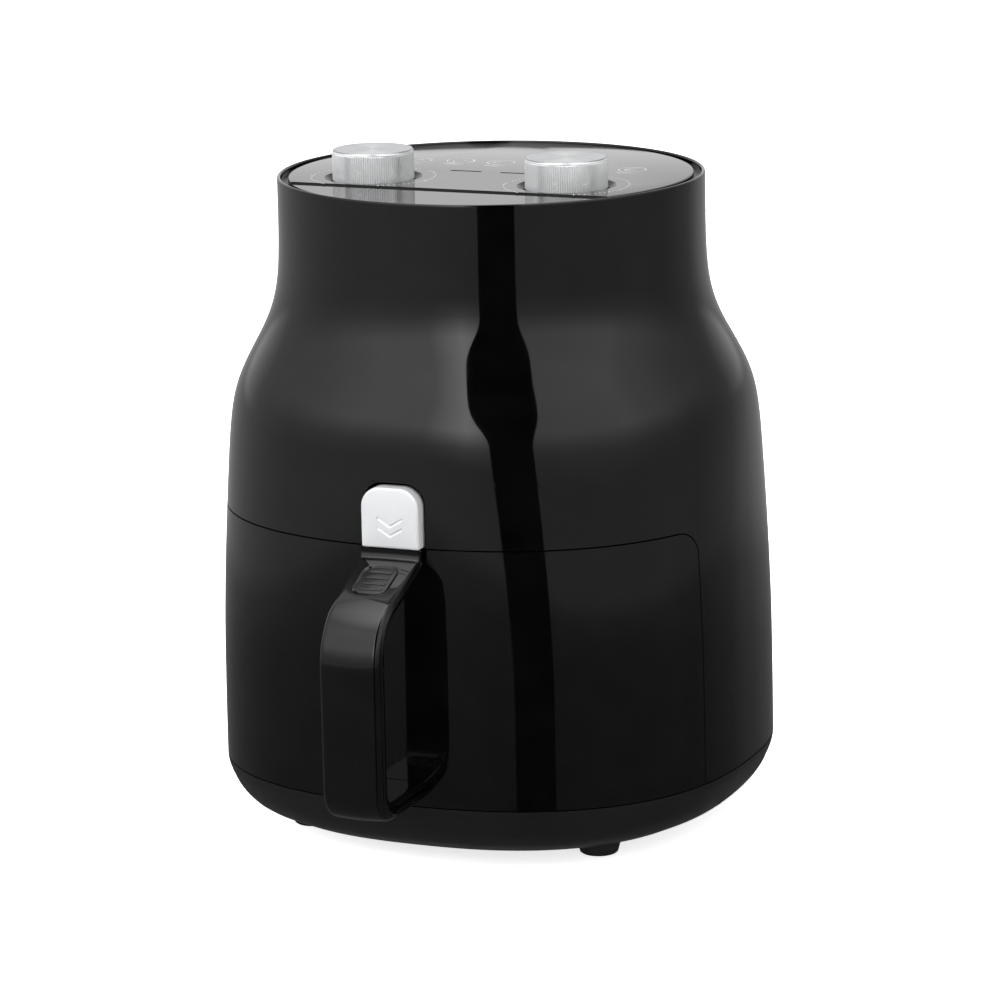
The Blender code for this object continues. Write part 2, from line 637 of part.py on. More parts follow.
def make_base():
    levels = [BASE_HEIGHT * t for t, _ in BASE_CURVE]
    outer = [body_ring(z) for z in levels]
    inner = [body_ring(z, WALL) for z in reversed(levels[1:])] + [body_ring(levels[0], WALL, lift=WALL)]
    base = loft("base_cover", outer + inner, look=SATIN_BLACK)
    bosses, holes, vents = [], [], []
    for name, x, y in foot_places():
        sx, sy = screw_place(x, y)
        bosses.append(rod("boss_" + name, 3 * BASE_SCREW_RADIUS, (sx, sy, WALL / 2),
                          (sx, sy, CHAMBER_FLOOR - GAP), cutter=True, sides=16))
        holes.append(rod("hole_" + name, BASE_SCREW_RADIUS + GAP, (sx, sy, -WALL),
                         (sx, sy, CHAMBER_FLOOR + WALL), cutter=True, sides=12))
    for k in range(VENT_COUNT):
        y = VENT_FIRST_Y + VENT_PITCH * k
        for side in (-1, 1):
            inner_x, outer_x = side * (BELLY_WIDTH / 2 - BASE_TUCK - VENT_REACH), side * BELLY_WIDTH
            low = (min(inner_x, outer_x), y - VENT_WIDTH / 2, -WALL)
            high = (max(inner_x, outer_x), y + VENT_WIDTH / 2, VENT_TOP)
            vents.append(box("vent", low, high, cutter=True))
    join(base, joined_mesh("screw_bosses", bosses))
    cut(base, joined_mesh("screw_holes", holes), joined_mesh("side_vents", vents))
    for name, x, y in foot_places():
        profile = [(0, -GAP), (FOOT_RADIUS, -GAP), (FOOT_RADIUS * 0.94, -FOOT_HEIGHT * 0.6),
                   (FOOT_RADIUS * 0.8, -FOOT_HEIGHT), (0, -FOOT_HEIGHT)]
        turned("foot_" + name, profile, HOUSING, RUBBER, steps=20, place=(x, y, 0))
        sx, sy = screw_place(x, y)
        head = 2 * BASE_SCREW_RADIUS
        profile = [(0, BASE_HEIGHT), (BASE_SCREW_RADIUS, BASE_HEIGHT), (BASE_SCREW_RADIUS, -GAP),
                   (head, -GAP), (head, -GAP - BASE_SCREW_RADIUS), (0, -GAP - BASE_SCREW_RADIUS)]
        turned("base_screw_" + name, profile, HOUSING, STEEL, steps=12, place=(sx, sy, 0))


def make_rear_fittings():
    low, high = GRILLE_Z - GRILLE_HEIGHT / 2, GRILLE_Z + GRILLE_HEIGHT / 2
    levels = [low, (low + high) / 2, high]
    rings = [body_ring(z) for z in levels] + [body_ring(z, WALL) for z in reversed(levels)]
    grille = loft("rear_air_grille", rings, look=SATIN_BLACK, closed=True)
    half = GRILLE_WIDTH / 2
    keep = box("grille_field", (-half, REAR_REACH, low - WALL), (half, BELLY_WIDTH, high + WALL),
               cutter=True)
    combine(grille, keep, "INTERSECT")
    pitch = GRILLE_HEIGHT / (GRILLE_SLOTS + 1)
    slots = []
    for k in range(GRILLE_SLOTS):
        z = low + pitch * (k + 1)
        slots.append(box("slot", (-half + 2 * WALL, REAR_REACH, z - pitch / 4),
                         (half - 2 * WALL, BELLY_WIDTH, z + pitch / 4), cutter=True))
    cut(grille, joined_mesh("grille_slots", slots))
    back = half_width(GLAND_Z) * DEPTH_SHARE
    flange, throat = GLAND_RADIUS * GLAND_FLANGE, GLAND_RADIUS * GLAND_THROAT
    gland = turned("cord_gland", [(throat, GLAND_PROUD), (flange - GLAND_PROUD / 2, GLAND_PROUD),
                                  (flange, GAP), (GLAND_RADIUS, GAP),
                                  (GLAND_RADIUS, -3 * WALL), (throat, -3 * WALL)],
                   HOUSING, SATIN_BLACK, steps=24, place=(0, back, GLAND_Z))
    gland.rotation_euler = (-math.pi / 2, 0, 0)


# ---------------------------------------------------------------------------
# Cooking chamber, heater, fan and motor
# ---------------------------------------------------------------------------
def make_chamber():
    outside, inside = CHAMBER_HALF, CHAMBER_HALF - SHEET
    steps = ((outside, CHAMBER_FLOOR), (outside, CHAMBER_TOP), (inside, CHAMBER_TOP),
             (inside, CHAMBER_FLOOR + SHEET))
    rings = [vessel_ring(half, half, 0, z, CHAMBER_FRONT_SQUARENESS) for half, z in steps]
    chamber = loft("inner_chamber", rings, look=GALVANISED)
    mouth = box("chamber_mouth", (-BELLY_WIDTH, -BELLY_WIDTH, CHAMBER_FLOOR - OVER),
                (BELLY_WIDTH, CHAMBER_FRONT_Y, CHAMBER_TOP + OVER), cutter=True)
    cut(chamber, mouth)
    plate = [vessel_ring(outside, outside, 0, z) for z in (DECK_Z, DECK_Z + SHEET)]
    deck = loft("chamber_top_plate", plate, look=GALVANISED)
    throat = rod("deck_hole", DOME_RADIUS, (0, 0, DECK_Z - OVER), (0, 0, DECK_Z + OVER), cutter=True,
                 sides=36)
    front = box("deck_front", (-BELLY_WIDTH, -BELLY_WIDTH, DECK_Z - OVER),
                (BELLY_WIDTH, DECK_FRONT_Y, DECK_Z + OVER), cutter=True)
    cut(deck, throat, front)
    for side, name in ((-1, "left"), (1, "right")):
        x = side * RUNNER_X
        box("drawer_runner_" + name, (x - RUNNER_WIDTH / 2, CHAMBER_FRONT_Y + RUNNER_FRONT_GAP, RUNNER_Z),
            (x + RUNNER_WIDTH / 2, CHAMBER_HALF - RUNNER_REAR_GAP, RUNNER_Z + RUNNER_HEIGHT), look=STEEL)
    sx, sy, sz = SWITCH_SIZE
    rear = CHAMBER_HALF + GAP
    middle = (PAN_BOTTOM + PAN_RIM) / 2
    box("drawer_switch", (-sx / 2, rear, middle - sz / 2), (sx / 2, rear + sy, middle + sz / 2),
        look=SATIN_BLACK, bevel=SWITCH_EDGE)


def make_heater():
    wall, top, corner = DOME_RADIUS, DOME_TOP, DOME_CORNER
    nick = corner * (1 - math.sqrt(0.5))
    inner_hole = SHAFT_RADIUS + 2 * RUN
    profile = [(inner_hole, top), (wall - corner, top), (wall - nick, top - nick), (wall, top - corner),
               (wall, DOME_Z + SHEET), (wall + DOME_FLANGE, DOME_Z + SHEET), (wall + DOME_FLANGE, DOME_Z),
               (wall - SHEET, DOME_Z), (wall - SHEET, top - corner - SHEET / 2),
               (wall - nick - SHEET, top - nick - SHEET), (wall - corner - SHEET / 2, top - SHEET),
               (inner_hole, top - SHEET)]
    dome = turned("heat_reflector", profile, HOUSING, GALVANISED, steps=28)
    height = DECK_Z + ELEMENT_LIFT + ELEMENT_TUBE
    start = math.asin(ELEMENT_TERMINAL_X / ELEMENT_RADIUS)
    arc = [start + (2 * math.pi - 2 * start) * k / ELEMENT_STEPS for k in range(ELEMENT_STEPS + 1)]
    loop = [(ELEMENT_RADIUS * math.sin(a), ELEMENT_RADIUS * math.cos(a), height) for a in arc]
    reach = DOME_TOP - height + ELEMENT_TERMINAL_RISE
    ends = [Vector(loop[0]) + Vector((0, 0, reach)), Vector(loop[-1]) + Vector((0, 0, reach))]
    wire("heating_element", [ends[0]] + loop + [ends[1]], ELEMENT_TUBE, HOUSING, HEATER_STEEL)
    holes = [rod("terminal_hole", ELEMENT_TUBE + RUN, (end.x, end.y, DOME_TOP - OVER),
                 (end.x, end.y, DOME_TOP + OVER), cutter=True, sides=16) for end in ends]
    cut(dome, joined_mesh("terminal_holes", holes))
    make_guard()


def guard_ring(name, radius, helper):
    """A flat ring of the guard, twice as wide as it is thick."""
    top = DECK_Z - GAP
    profile = [(radius - 2 * GUARD_WIRE, top), (radius, top), (radius, top - GUARD_WIRE),
               (radius - 2 * GUARD_WIRE, top - GUARD_WIRE)]
    return turned(name, profile, HOUSING, STEEL, steps=20, cutter=helper)


def make_guard():
    """Guard under the element: flat rings joined by spokes, held against the top plate."""
    outer = DOME_RADIUS + DOME_FLANGE / 2
    guard = guard_ring("heater_guard", outer, False)
    helpers = [guard_ring("guard_ring", outer * share, True) for share in GUARD_RINGS]
    reach, middle = outer - GUARD_WIRE, DECK_Z - GAP - GUARD_WIRE / 2
    for k in range(GUARD_SPOKES):
        spoke = box("guard_spoke", (-reach, -GUARD_WIRE, middle - GUARD_WIRE * 0.4),
                    (reach, GUARD_WIRE, middle + GUARD_WIRE * 0.4), cutter=True)
        spoke.rotation_euler = (0, 0, math.pi * (k + GUARD_TURN) / GUARD_SPOKES)
        helpers.append(spoke)
    join(guard, *helpers)


def bladed(name, radius, bottom, height, look):
    """A disc with upright blades on a hub, bored for the shaft."""
    top, hub = bottom + height, HUB_RADIUS
    profile = [(SHAFT_RADIUS + RUN, top), (hub, top), (hub, bottom + SHEET), (radius, bottom + SHEET),
               (radius, bottom), (SHAFT_RADIUS + RUN, bottom)]
    wheel = turned(name, [(r, z - DOME_TOP) for r, z in profile], FAN, look, steps=24)
    blades = []
    for k in range(FAN_BLADES):
        blade = box("blade", (hub * 1.5, -SHEET / 2, bottom + SHEET / 2 - DOME_TOP),
                    (radius - SHEET, SHEET / 2, top - SHEET - DOME_TOP), parent=FAN, cutter=True)
        turn = Matrix.Rotation(2 * math.pi * k / FAN_BLADES, 4, "Z") @ Matrix.Translation((0, hub * 0.5, 0))
        blade.data.transform(turn)
        blades.append(blade)
    fins = joined_mesh(name + "_fins", blades)
    fins.parent = FAN
    join(wheel, fins)


def make_fan_and_motor():
    bladed("convection_fan", HOT_FAN_RADIUS, FAN_BOTTOM, HOT_FAN_HEIGHT, GALVANISED)
    bladed("cooling_fan", COOL_FAN_RADIUS, DOME_TOP + COOL_FAN_ROOM, COOL_FAN_HEIGHT, SATIN_BLACK)
    low, high = NUT_TOP - NUT_HEIGHT - DOME_TOP, NUT_TOP - DOME_TOP
    nut = rod("fan_nut", NUT_RADIUS, (0, 0, low), (0, 0, high), parent=FAN, look=STEEL, sides=6)
    cut(nut, rod("nut_bore", SHAFT_RADIUS + GAP, (0, 0, low - OVER), (0, 0, high + OVER), parent=FAN,
                 cutter=True, sides=16))
    rod("motor_shaft", SHAFT_RADIUS, (0, 0, low - SHAFT_BELOW_NUT), (0, 0, FAN_SHAFT_TOP - DOME_TOP),
        parent=FAN, look=STEEL, sides=16)
    bore = rod("motor_bore", SHAFT_RADIUS + RUN, (0, 0, BRACKET_Z - OVER), (0, 0, FAN_SHAFT_TOP + RUN),
               cutter=True, sides=16)
    motor = turned("motor", [(0, MOTOR_Z + MOTOR_HEIGHT), (MOTOR_RADIUS * 0.92, MOTOR_Z + MOTOR_HEIGHT),
                             (MOTOR_RADIUS, MOTOR_Z + MOTOR_HEIGHT * 0.9), (MOTOR_RADIUS, MOTOR_Z),
                             (0, MOTOR_Z)], HOUSING, STEEL, steps=28)
    cut(motor, bore)
    plate = rod("motor_bracket", BRACKET_RADIUS, (0, 0, BRACKET_Z), (0, 0, BRACKET_Z + BRACKET_SHEET),
                look=GALVANISED, sides=32)
    legs = []
    for k in range(BRACKET_LEGS):
        a = 2 * math.pi * (k + 0.5) / BRACKET_LEGS
        x, y = (BRACKET_RADIUS - LEG_INSET) * math.cos(a), (BRACKET_RADIUS - LEG_INSET) * math.sin(a)
        legs.append(rod("leg", LEG_RADIUS, (x, y, DOME_TOP + GAP), (x, y, BRACKET_Z + BRACKET_SHEET / 2),
                        cutter=True, sides=12))
    join(plate, joined_mesh("bracket_legs", legs))
    cut(plate, bore)


# ---------------------------------------------------------------------------
# Controls: panel, knobs, timer and thermostat
# ---------------------------------------------------------------------------
def make_controls():
    places = ((-KNOB_X, "timer"), (KNOB_X, "thermostat"))
    frame = loft("panel_frame", [body_ring(FRAME_BOTTOM, WALL + GAP), body_ring(FRAME_TOP, WALL + GAP)],
                 look=SATIN_BLACK)
    stem_holes = [rod("stem_hole", STEM_RADIUS + 2 * RUN, (x, KNOB_Y, FRAME_BOTTOM - OVER),
                      (x, KNOB_Y, FRAME_TOP + OVER), cutter=True) for x, _ in places]
    cut(frame, joined_mesh("stem_holes", stem_holes))
    faces = [body_ring(RIM_Z, WALL + PANEL_MARGIN, lift=z) for z in (PANEL_BOTTOM, PANEL_TOP)]
    panel = loft("control_panel", faces, look=PANEL_BLACK)
    over = PANEL_THICKNESS / 3
    flare = POCKET_FLARE / 3
    openings = []
    for x, _ in places:
        openings.append(rod("pocket", POCKET_RADIUS - POCKET_FLARE - flare, (x, KNOB_Y, PANEL_BOTTOM - over),
                            (x, KNOB_Y, PANEL_TOP + over), cutter=True, sides=32,
                            end_radius=POCKET_RADIUS + flare))
    for x, name in ((-LENS_X, "power"), (LENS_X, "heating")):
        side, deep = LENS_LENGTH / 2, LENS_WIDTH / 2
        openings.append(box("window", (x - side, -deep, PANEL_BOTTOM - over),
                            (x + side, deep, PANEL_TOP + over), cutter=True))
        side, deep = side - GAP, deep - GAP
        box(name + "_lens", (x - side, -deep, PANEL_BOTTOM), (x + side, deep, PANEL_TOP), look=LENS)
    cut(panel, joined_mesh("panel_openings", openings))
    make_knob("timer_knob", "timer_shaft", TIMER_AXIS)
    make_knob("temperature_knob", "thermostat_shaft", HEAT_AXIS)
    make_mechanism("timer_mechanism", -KNOB_X, TIMER_SIZE, TIMER_HEIGHT)
    make_mechanism("thermostat", KNOB_X, THERMOSTAT_SIZE, THERMOSTAT_HEIGHT)
    make_bell()


def make_bell():
    """Cup under the timer, open below."""
    top = FRAME_BOTTOM - GAP - TIMER_HEIGHT - GAP
    crown = BELL_RADIUS * 0.4
    inside = BELL_RADIUS - SHEET
    profile = [(0, top), (crown, top), (BELL_RADIUS, top - BELL_SHOULDER), (BELL_RADIUS, top - BELL_DEPTH),
               (inside, top - BELL_DEPTH), (inside, top - BELL_SHOULDER - SHEET / 2),
               (crown - SHEET / 2, top - SHEET), (0, top - SHEET)]
    turned("timer_bell", profile, HOUSING, STEEL, steps=24, place=(-KNOB_X, KNOB_Y, 0))


def make_knob(name, shaft, axis):
    bore = SHAFT_RADIUS + GAP
    stem_end = FRAME_BOTTOM + 2 * GAP - RIM_Z
    profile = [(0, KNOB_RISE), (KNOB_RADIUS - KNOB_CHAMFER, KNOB_RISE),
               (KNOB_RADIUS, KNOB_RISE - KNOB_CHAMFER), (KNOB_RADIUS, KNOB_BOTTOM),
               (STEM_RADIUS, KNOB_BOTTOM), (STEM_RADIUS, stem_end), (bore, stem_end),
               (bore, SHAFT_TOP + GAP), (0, SHAFT_TOP + GAP)]
    turned(name, profile, axis, SPUN_METAL, steps=36)
    rod(shaft, SHAFT_RADIUS, (0, 0, SHAFT_BOTTOM), (0, 0, SHAFT_TOP), parent=axis, look=STEEL, sides=16)


def make_mechanism(name, x, size, height):
    top = FRAME_BOTTOM - GAP
    case = box(name, (x - size / 2, KNOB_Y - size / 2, top - height), (x + size / 2, KNOB_Y + size / 2, top),
               look=GALVANISED)
    soften(case, MECHANISM_CORNER)
    cut(case, rod(name + "_bore", SHAFT_RADIUS + RUN, (x, KNOB_Y, RIM_Z + SHAFT_BOTTOM - RUN),
                  (x, KNOB_Y, top + OVER), cutter=True, sides=16))


# ---------------------------------------------------------------------------
# Drawer: front, pan, basket
# ---------------------------------------------------------------------------
def make_drawer_front():
    bottom, top = BASE_HEIGHT + SEAM, SEAM_Z - SEAM
    levels = [bottom, (bottom + top) / 2, top]
    flange_under = top - DRAWER_WALL
    outer = [body_ring(z) for z in levels]
    inner = [body_ring(top, DRAWER_WALL + FRONT_FLANGE), body_ring(flange_under, DRAWER_WALL + FRONT_FLANGE)]
    inner += [body_ring(z, DRAWER_WALL) for z in (flange_under, levels[1], bottom)]
    front = loft("drawer_front", outer + inner, parent=DRAWER, look=GLOSS_BLACK, closed=True)
    field = prism("drawer_field", drawer_outline(SEAM, bottom), 2 * BELLY_WIDTH, parent=DRAWER, cutter=True)
    combine(front, field, "INTERSECT")
    half = STRAP_HALF + RUN + GAP
    face = skin_front(SEAM_Z)
    cut(front, box("strap_notch", (-half, face - STRAP_NOTCH_AHEAD, STRAP_LOW - 2 * GAP),
                   (half, face + STRAP_NOTCH_BEHIND, SEAM_Z + OVER), parent=DRAWER, cutter=True))


def make_handle_bracket():
    """Bent strap from the basket's rim, over the drawer front's notch, to the back of the handle."""
    front = HANDLE_BACK + GAP
    rear = PAN_FRONT_Y + 2 * BRACKET_SHEET
    tab = front + BRACKET_SHEET
    arm_top = STRAP_ARM + BRACKET_SHEET
    foot = BASKET_RIM + GAP
    outline = [(front, STRAP_LOW), (tab, STRAP_LOW), (tab, STRAP_ARM), (rear - BRACKET_SHEET, STRAP_ARM),
               (rear - BRACKET_SHEET, foot), (rear, foot), (rear, arm_top), (tab, arm_top),
               (tab, STRAP_TAB_TOP), (front, STRAP_TAB_TOP)]
    prism("handle_bracket", outline, 2 * STRAP_HALF, parent=DRAWER, look=STEEL)


def make_vessel(name, inset, bottom, top, taper, bend, lip):
    """An open, tapered vessel of sheet, set in from the pan's size. Its wall bends into its floor, and a
    flat lip turns outwards when lip isn't zero."""
    def ring(z, step):
        shrink = inset + step + taper * (top - z) / (top - bottom)
        return vessel_ring(PAN_HALF - shrink, PAN_DEEP - shrink, PAN_MIDDLE, z)

    rings = [ring(bottom, bend), ring(bottom + bend, 0)]
    if lip:
        under = top - SHEET
        rings += [ring(under, 0), ring(under, -lip), ring(top, -lip)]
    else:
        rings.append(ring(top, 0))
    rings += [ring(top, SHEET), ring(bottom + bend, SHEET), ring(bottom + SHEET, SHEET + bend - SHEET / 2)]
    return loft(name, rings, parent=DRAWER, look=NON_STICK)


def make_pan_and_basket():
    make_vessel("frying_pan", 0, PAN_BOTTOM, PAN_RIM, PAN_TAPER, PAN_ROUND, 0)
    basket = make_vessel("basket", SHEET + BASKET_CLEARANCE, BASKET_BOTTOM, BASKET_RIM, BASKET_TAPER,
                         BASKET_ROUND, BASKET_LIP)
    rows, half = BASKET_SLOT_ROWS, BASKET_SLOT_WIDTH / 2
    holes = []
    for k in range(-rows, rows + 1):
        length = (PAN_HALF - BASKET_SLOT_SIDE) * math.sqrt(1 - (k / (rows + 2)) ** 2)
        y = PAN_MIDDLE + k * (PAN_DEEP - BASKET_SLOT_END) / rows
        holes.append(box("floor_slot", (-length, y - half, BASKET_BOTTOM - OVER),
                         (length, y + half, BASKET_BOTTOM + OVER), parent=DRAWER, cutter=True))
    slots = joined_mesh("basket_slots", holes)
    slots.parent = DRAWER
    cut(basket, slots)
    make_pan_bracket()


def make_pan_bracket():
    """Channel of sheet between the pan's front wall and the inside of the drawer front."""
    height = PAN_RIM - PAN_BOTTOM
    low, high = PAN_BOTTOM + height * PAN_BRACKET_LOW, PAN_BOTTOM + height * PAN_BRACKET_HIGH
    strap = BRACKET_SHEET
    front = max(skin_front(z, DRAWER_WALL, PAN_BRACKET_WIDTH / 2) for z in (low, high)) + 2 * GAP
    back = PAN_FRONT_Y - GAP
    outline = [(front, low), (back, low), (back, high), (front, high), (front, high - strap),
               (back - strap, high - strap), (back - strap, low + strap), (front, low + strap)]
    prism("pan_bracket", outline, PAN_BRACKET_WIDTH, parent=DRAWER, look=STEEL)


# ---------------------------------------------------------------------------
# Handle and release button
# ---------------------------------------------------------------------------
def handle_path(share):
    """Corners (y, z, bend) of the loop at a share of its thickness, 0 outside and 1 inside, after the
    corner where it leaves the drawer."""
    slope = math.tan(HANDLE_SLOPE)
    start_z = STRIP_TOP - HANDLE_STRIP
    drop = share * ARM_THICKNESS / math.cos(HANDLE_SLOPE)
    grip_y = -HANDLE_REACH + share * GRIP_THICKNESS
    leg_z = LEG_UNDERSIDE + share * LEG_THICKNESS
    leg_end = skin_front(LEG_UNDERSIDE) - GAP - LEG_ROOM
    if share == 0:
        first = (BUTTON_FACE, start_z, STRIP_BEND)
    else:
        first = (HANDLE_BACK, start_z + (HANDLE_BACK - BUTTON_FACE) * slope - drop, 0)
    bend_z = start_z + (grip_y - BUTTON_FACE) * slope - drop
    return [first, (grip_y, bend_z, GRIP_BEND - share * 1.5 * GRIP_THICKNESS),
            (grip_y, leg_z, LEG_BEND - share * 0.6 * GRIP_THICKNESS), (leg_end, leg_z, 0)]


def make_handle():
    outer = [(HANDLE_BACK, STRIP_TOP, 0), (BUTTON_FACE, STRIP_TOP, 0)] + handle_path(0)
    outer += list(reversed(handle_path(HANDLE_PARTING)))
    inner_share = HANDLE_PARTING + GAP / LEG_THICKNESS
    inner = handle_path(inner_share) + list(reversed(handle_path(1)))
    shell = prism("handle_outer_shell", rounded(outer), BUTTON_WIDTH, parent=DRAWER, look=GLOSS_BLACK)
    lining = prism("handle_inner_shell", rounded(inner), BUTTON_WIDTH, parent=DRAWER, look=GLOSS_BLACK)
    make_thumb_pad(shell)
    grip_back = -HANDLE_REACH + GRIP_THICKNESS
    low, high = handle_path(1)[2][1], handle_path(1)[1][1]
    for name, share in HANDLE_SCREWS:
        z = low + (high - low) * share
        tip = grip_back - HANDLE_SCREW_LENGTH
        hole = rod("handle_hole_" + name, HANDLE_SCREW_RADIUS + GAP, (0, tip - GAP, z),
                   (0, grip_back + OVER, z), parent=DRAWER, cutter=True, sides=16)
        cut(shell, hole)
        cut(lining, hole)
        rod("handle_screw_" + name, HANDLE_SCREW_RADIUS, (0, tip, z), (0, grip_back - HANDLE_SCREW_SINK, z),
            parent=DRAWER, look=STEEL, sides=14)
    strip = HANDLE_BACK - BUTTON_FACE
    for part, edge in ((shell, min(HANDLE_EDGE, strip * 0.35)), (lining, HANDLE_EDGE / 2)):
        soften(part, edge)
        part.modifiers.move(len(part.modifiers) - 1, 0)


def make_thumb_pad(shell):
    """Ribbed pad in a pocket of the sloping arm, its thickness a half of the pocket's depth."""
    start = Vector((0, BUTTON_FACE, STRIP_TOP - HANDLE_STRIP))
    along = Vector((0, -math.cos(HANDLE_SLOPE), -math.sin(HANDLE_SLOPE)))
    up = Vector((0, -math.sin(HANDLE_SLOPE), math.cos(HANDLE_SLOPE)))
    centre = start + along * (PAD_START + PAD_LENGTH / 2)
    half = Vector((PAD_WIDTH / 2, PAD_LENGTH / 2, PAD_DEPTH))
    pocket = box("pad_pocket", centre - half, centre + half, parent=DRAWER, cutter=True, tilt=HANDLE_SLOPE)
    cut(shell, pocket)
    thin = Vector((PAD_WIDTH / 2 - GAP, PAD_LENGTH / 2 - GAP, (PAD_DEPTH - GAP) / 4))
    seat = centre - up * (PAD_DEPTH - GAP - thin.z)
    pad = box("thumb_pad", seat - thin, seat + thin, parent=DRAWER, look=SATIN_BLACK, tilt=HANDLE_SLOPE)
    size = Vector((PAD_WIDTH * RIB_REACH / 2, RIB_WIDTH / 2, RIB_HEIGHT))
    ribs = []
    for k in range(PAD_RIBS):
        share = ((k + 0.5) / PAD_RIBS - 0.5) * RIB_SPREAD
        place = seat + along * PAD_LENGTH * share + up * thin.z
        ribs.append(box("rib", place - size, place + size, parent=DRAWER, cutter=True, tilt=HANDLE_SLOPE))
    rib_set = joined_mesh("pad_ribs", ribs)
    rib_set.parent = DRAWER
    join(pad, rib_set)


def make_release():
    """Button with its stem, and the fixed housing behind it that guides the stem and holds the spring."""
    back = BUTTON_FACE + BUTTON_DEPTH
    housing_front = back + BUTTON_TRAVEL + GAP
    housing_back = housing_front + HOUSING_DEPTH
    pocket_end = housing_front + SPRING_POCKET_DEPTH
    side, half_height = BUTTON_WIDTH / 2, BUTTON_HEIGHT / 2
    outline = rounded([(-side, -half_height, BUTTON_FOOT_CORNER), (side, -half_height, BUTTON_FOOT_CORNER),
                       (side, half_height, BUTTON_CORNER), (-side, half_height, BUTTON_CORNER)])
    button = prism("release_button", outline, BUTTON_DEPTH, parent=RELEASE, look=SILVER, across="Y",
                   centre=(BUTTON_FACE + back) / 2)
    soften(button, BUTTON_EDGE)
    join(button, rod("button_stem", BUTTON_STEM_RADIUS, (0, back - BUTTON_STEM_RADIUS, 0),
                     (0, housing_back - STEM_SINK, 0), parent=RELEASE, cutter=True, sides=14))
    case = box("button_housing", (-STRAP_HALF, housing_front, STRAP_ARM + BRACKET_SHEET + GAP),
               (STRAP_HALF, housing_back, BUTTON_TOP - 2 * HOUSING_MARGIN), parent=DRAWER, look=SATIN_BLACK,
               bevel=HOUSING_EDGE)
    cut(case,
        rod("spring_pocket", SPRING_RADIUS + SPRING_WIRE + 2 * RUN, (0, housing_front - OVER, BUTTON_MIDDLE),
            (0, pocket_end, BUTTON_MIDDLE), parent=DRAWER, cutter=True),
        rod("stem_bore", BUTTON_STEM_RADIUS + RUN, (0, housing_front, BUTTON_MIDDLE),
            (0, housing_back + OVER, BUTTON_MIDDLE), parent=DRAWER, cutter=True, sides=16))
    start, end = back + GAP + SPRING_WIRE, pocket_end - GAP - SPRING_WIRE
    count = SPRING_TURNS * SPRING_STEPS
    coil = []
    for k in range(count + 1):
        a = 2 * math.pi * k / SPRING_STEPS
        coil.append((SPRING_RADIUS * math.cos(a), start + (end - start) * k / count,
                     BUTTON_MIDDLE + SPRING_RADIUS * math.sin(a)))
    wire("button_spring", coil, SPRING_WIRE, DRAWER, STEEL)


make_body_shell()
make_base()
make_rear_fittings()
make_chamber()
make_heater()
make_fan_and_motor()
make_controls()
make_drawer_front()
make_pan_and_basket()
make_handle_bracket()
make_handle()
make_release()
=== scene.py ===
"""Looks of a drawer-type hot-air fryer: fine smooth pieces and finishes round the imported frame."""
import functools
import math
import bmesh
import bpy
from mathutils import Matrix, Vector


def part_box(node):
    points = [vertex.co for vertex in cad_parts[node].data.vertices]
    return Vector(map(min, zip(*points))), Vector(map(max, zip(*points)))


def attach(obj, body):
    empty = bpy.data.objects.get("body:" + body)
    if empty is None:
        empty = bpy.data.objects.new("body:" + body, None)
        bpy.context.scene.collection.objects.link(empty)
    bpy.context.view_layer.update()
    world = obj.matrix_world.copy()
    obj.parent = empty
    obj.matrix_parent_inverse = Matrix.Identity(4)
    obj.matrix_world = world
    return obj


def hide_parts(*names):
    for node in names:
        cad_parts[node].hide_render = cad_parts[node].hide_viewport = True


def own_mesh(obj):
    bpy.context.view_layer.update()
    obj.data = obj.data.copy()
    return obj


bl_info = {
    "name": "Hot-air fryer looks",
    "version": (1, 0, 0),
    "blender": (4, 5, 0),
    "location": "3D View > Sidebar > Fryer",
    "description": "Builds the visible pieces and finishes of a drawer-type hot-air fryer",
    "category": "Object",
}

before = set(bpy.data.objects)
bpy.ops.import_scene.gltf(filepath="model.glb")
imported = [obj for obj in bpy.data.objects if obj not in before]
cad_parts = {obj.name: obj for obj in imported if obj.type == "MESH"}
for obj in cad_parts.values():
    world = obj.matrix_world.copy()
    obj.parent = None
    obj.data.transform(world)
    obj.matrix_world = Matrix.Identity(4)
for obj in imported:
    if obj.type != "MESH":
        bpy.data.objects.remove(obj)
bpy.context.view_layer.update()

# Sizes in metres, counted from the body's axis and from the underside of the base cover.
MM = 0.001
AXIS_Y = 0.0268                # the body's axis behind the middle of the footprint box
FOOT_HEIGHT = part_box("base_cover")[0].z
BODY_HEIGHT = 0.319
BELLY_WIDTH = 0.270
SHOULDER_WIDTH = 0.265
NECK_WIDTH = 0.2148
DEPTH_SHARE = 0.9744            # front to back, as a share of the width
SQUARENESS_LOW = 2.44           # power of the rounded section: 2 is an ellipse
SQUARENESS_HIGH = 2.0
SQUARE_BELOW = 0.245            # share of the height where the rounding starts
ROUND_ABOVE = 0.88
SHOULDER_START = 0.185
SHOULDER_LENGTH = 0.1085
# Share of the way up the shoulder, and share of the way in to the neck.
SHOULDER_CURVE = ((0, 0), (0.235, 0.076), (0.415, 0.39), (0.59, 0.79), (0.765, 0.96), (1, 1))
BASE_HEIGHT = 0.0263
BASE_TUCK = 0.022
# Share of the base's height, and share of its tuck.
BASE_CURVE = ((0, 1), (0.24, 0.46), (0.6, 0.145), (1, 0))
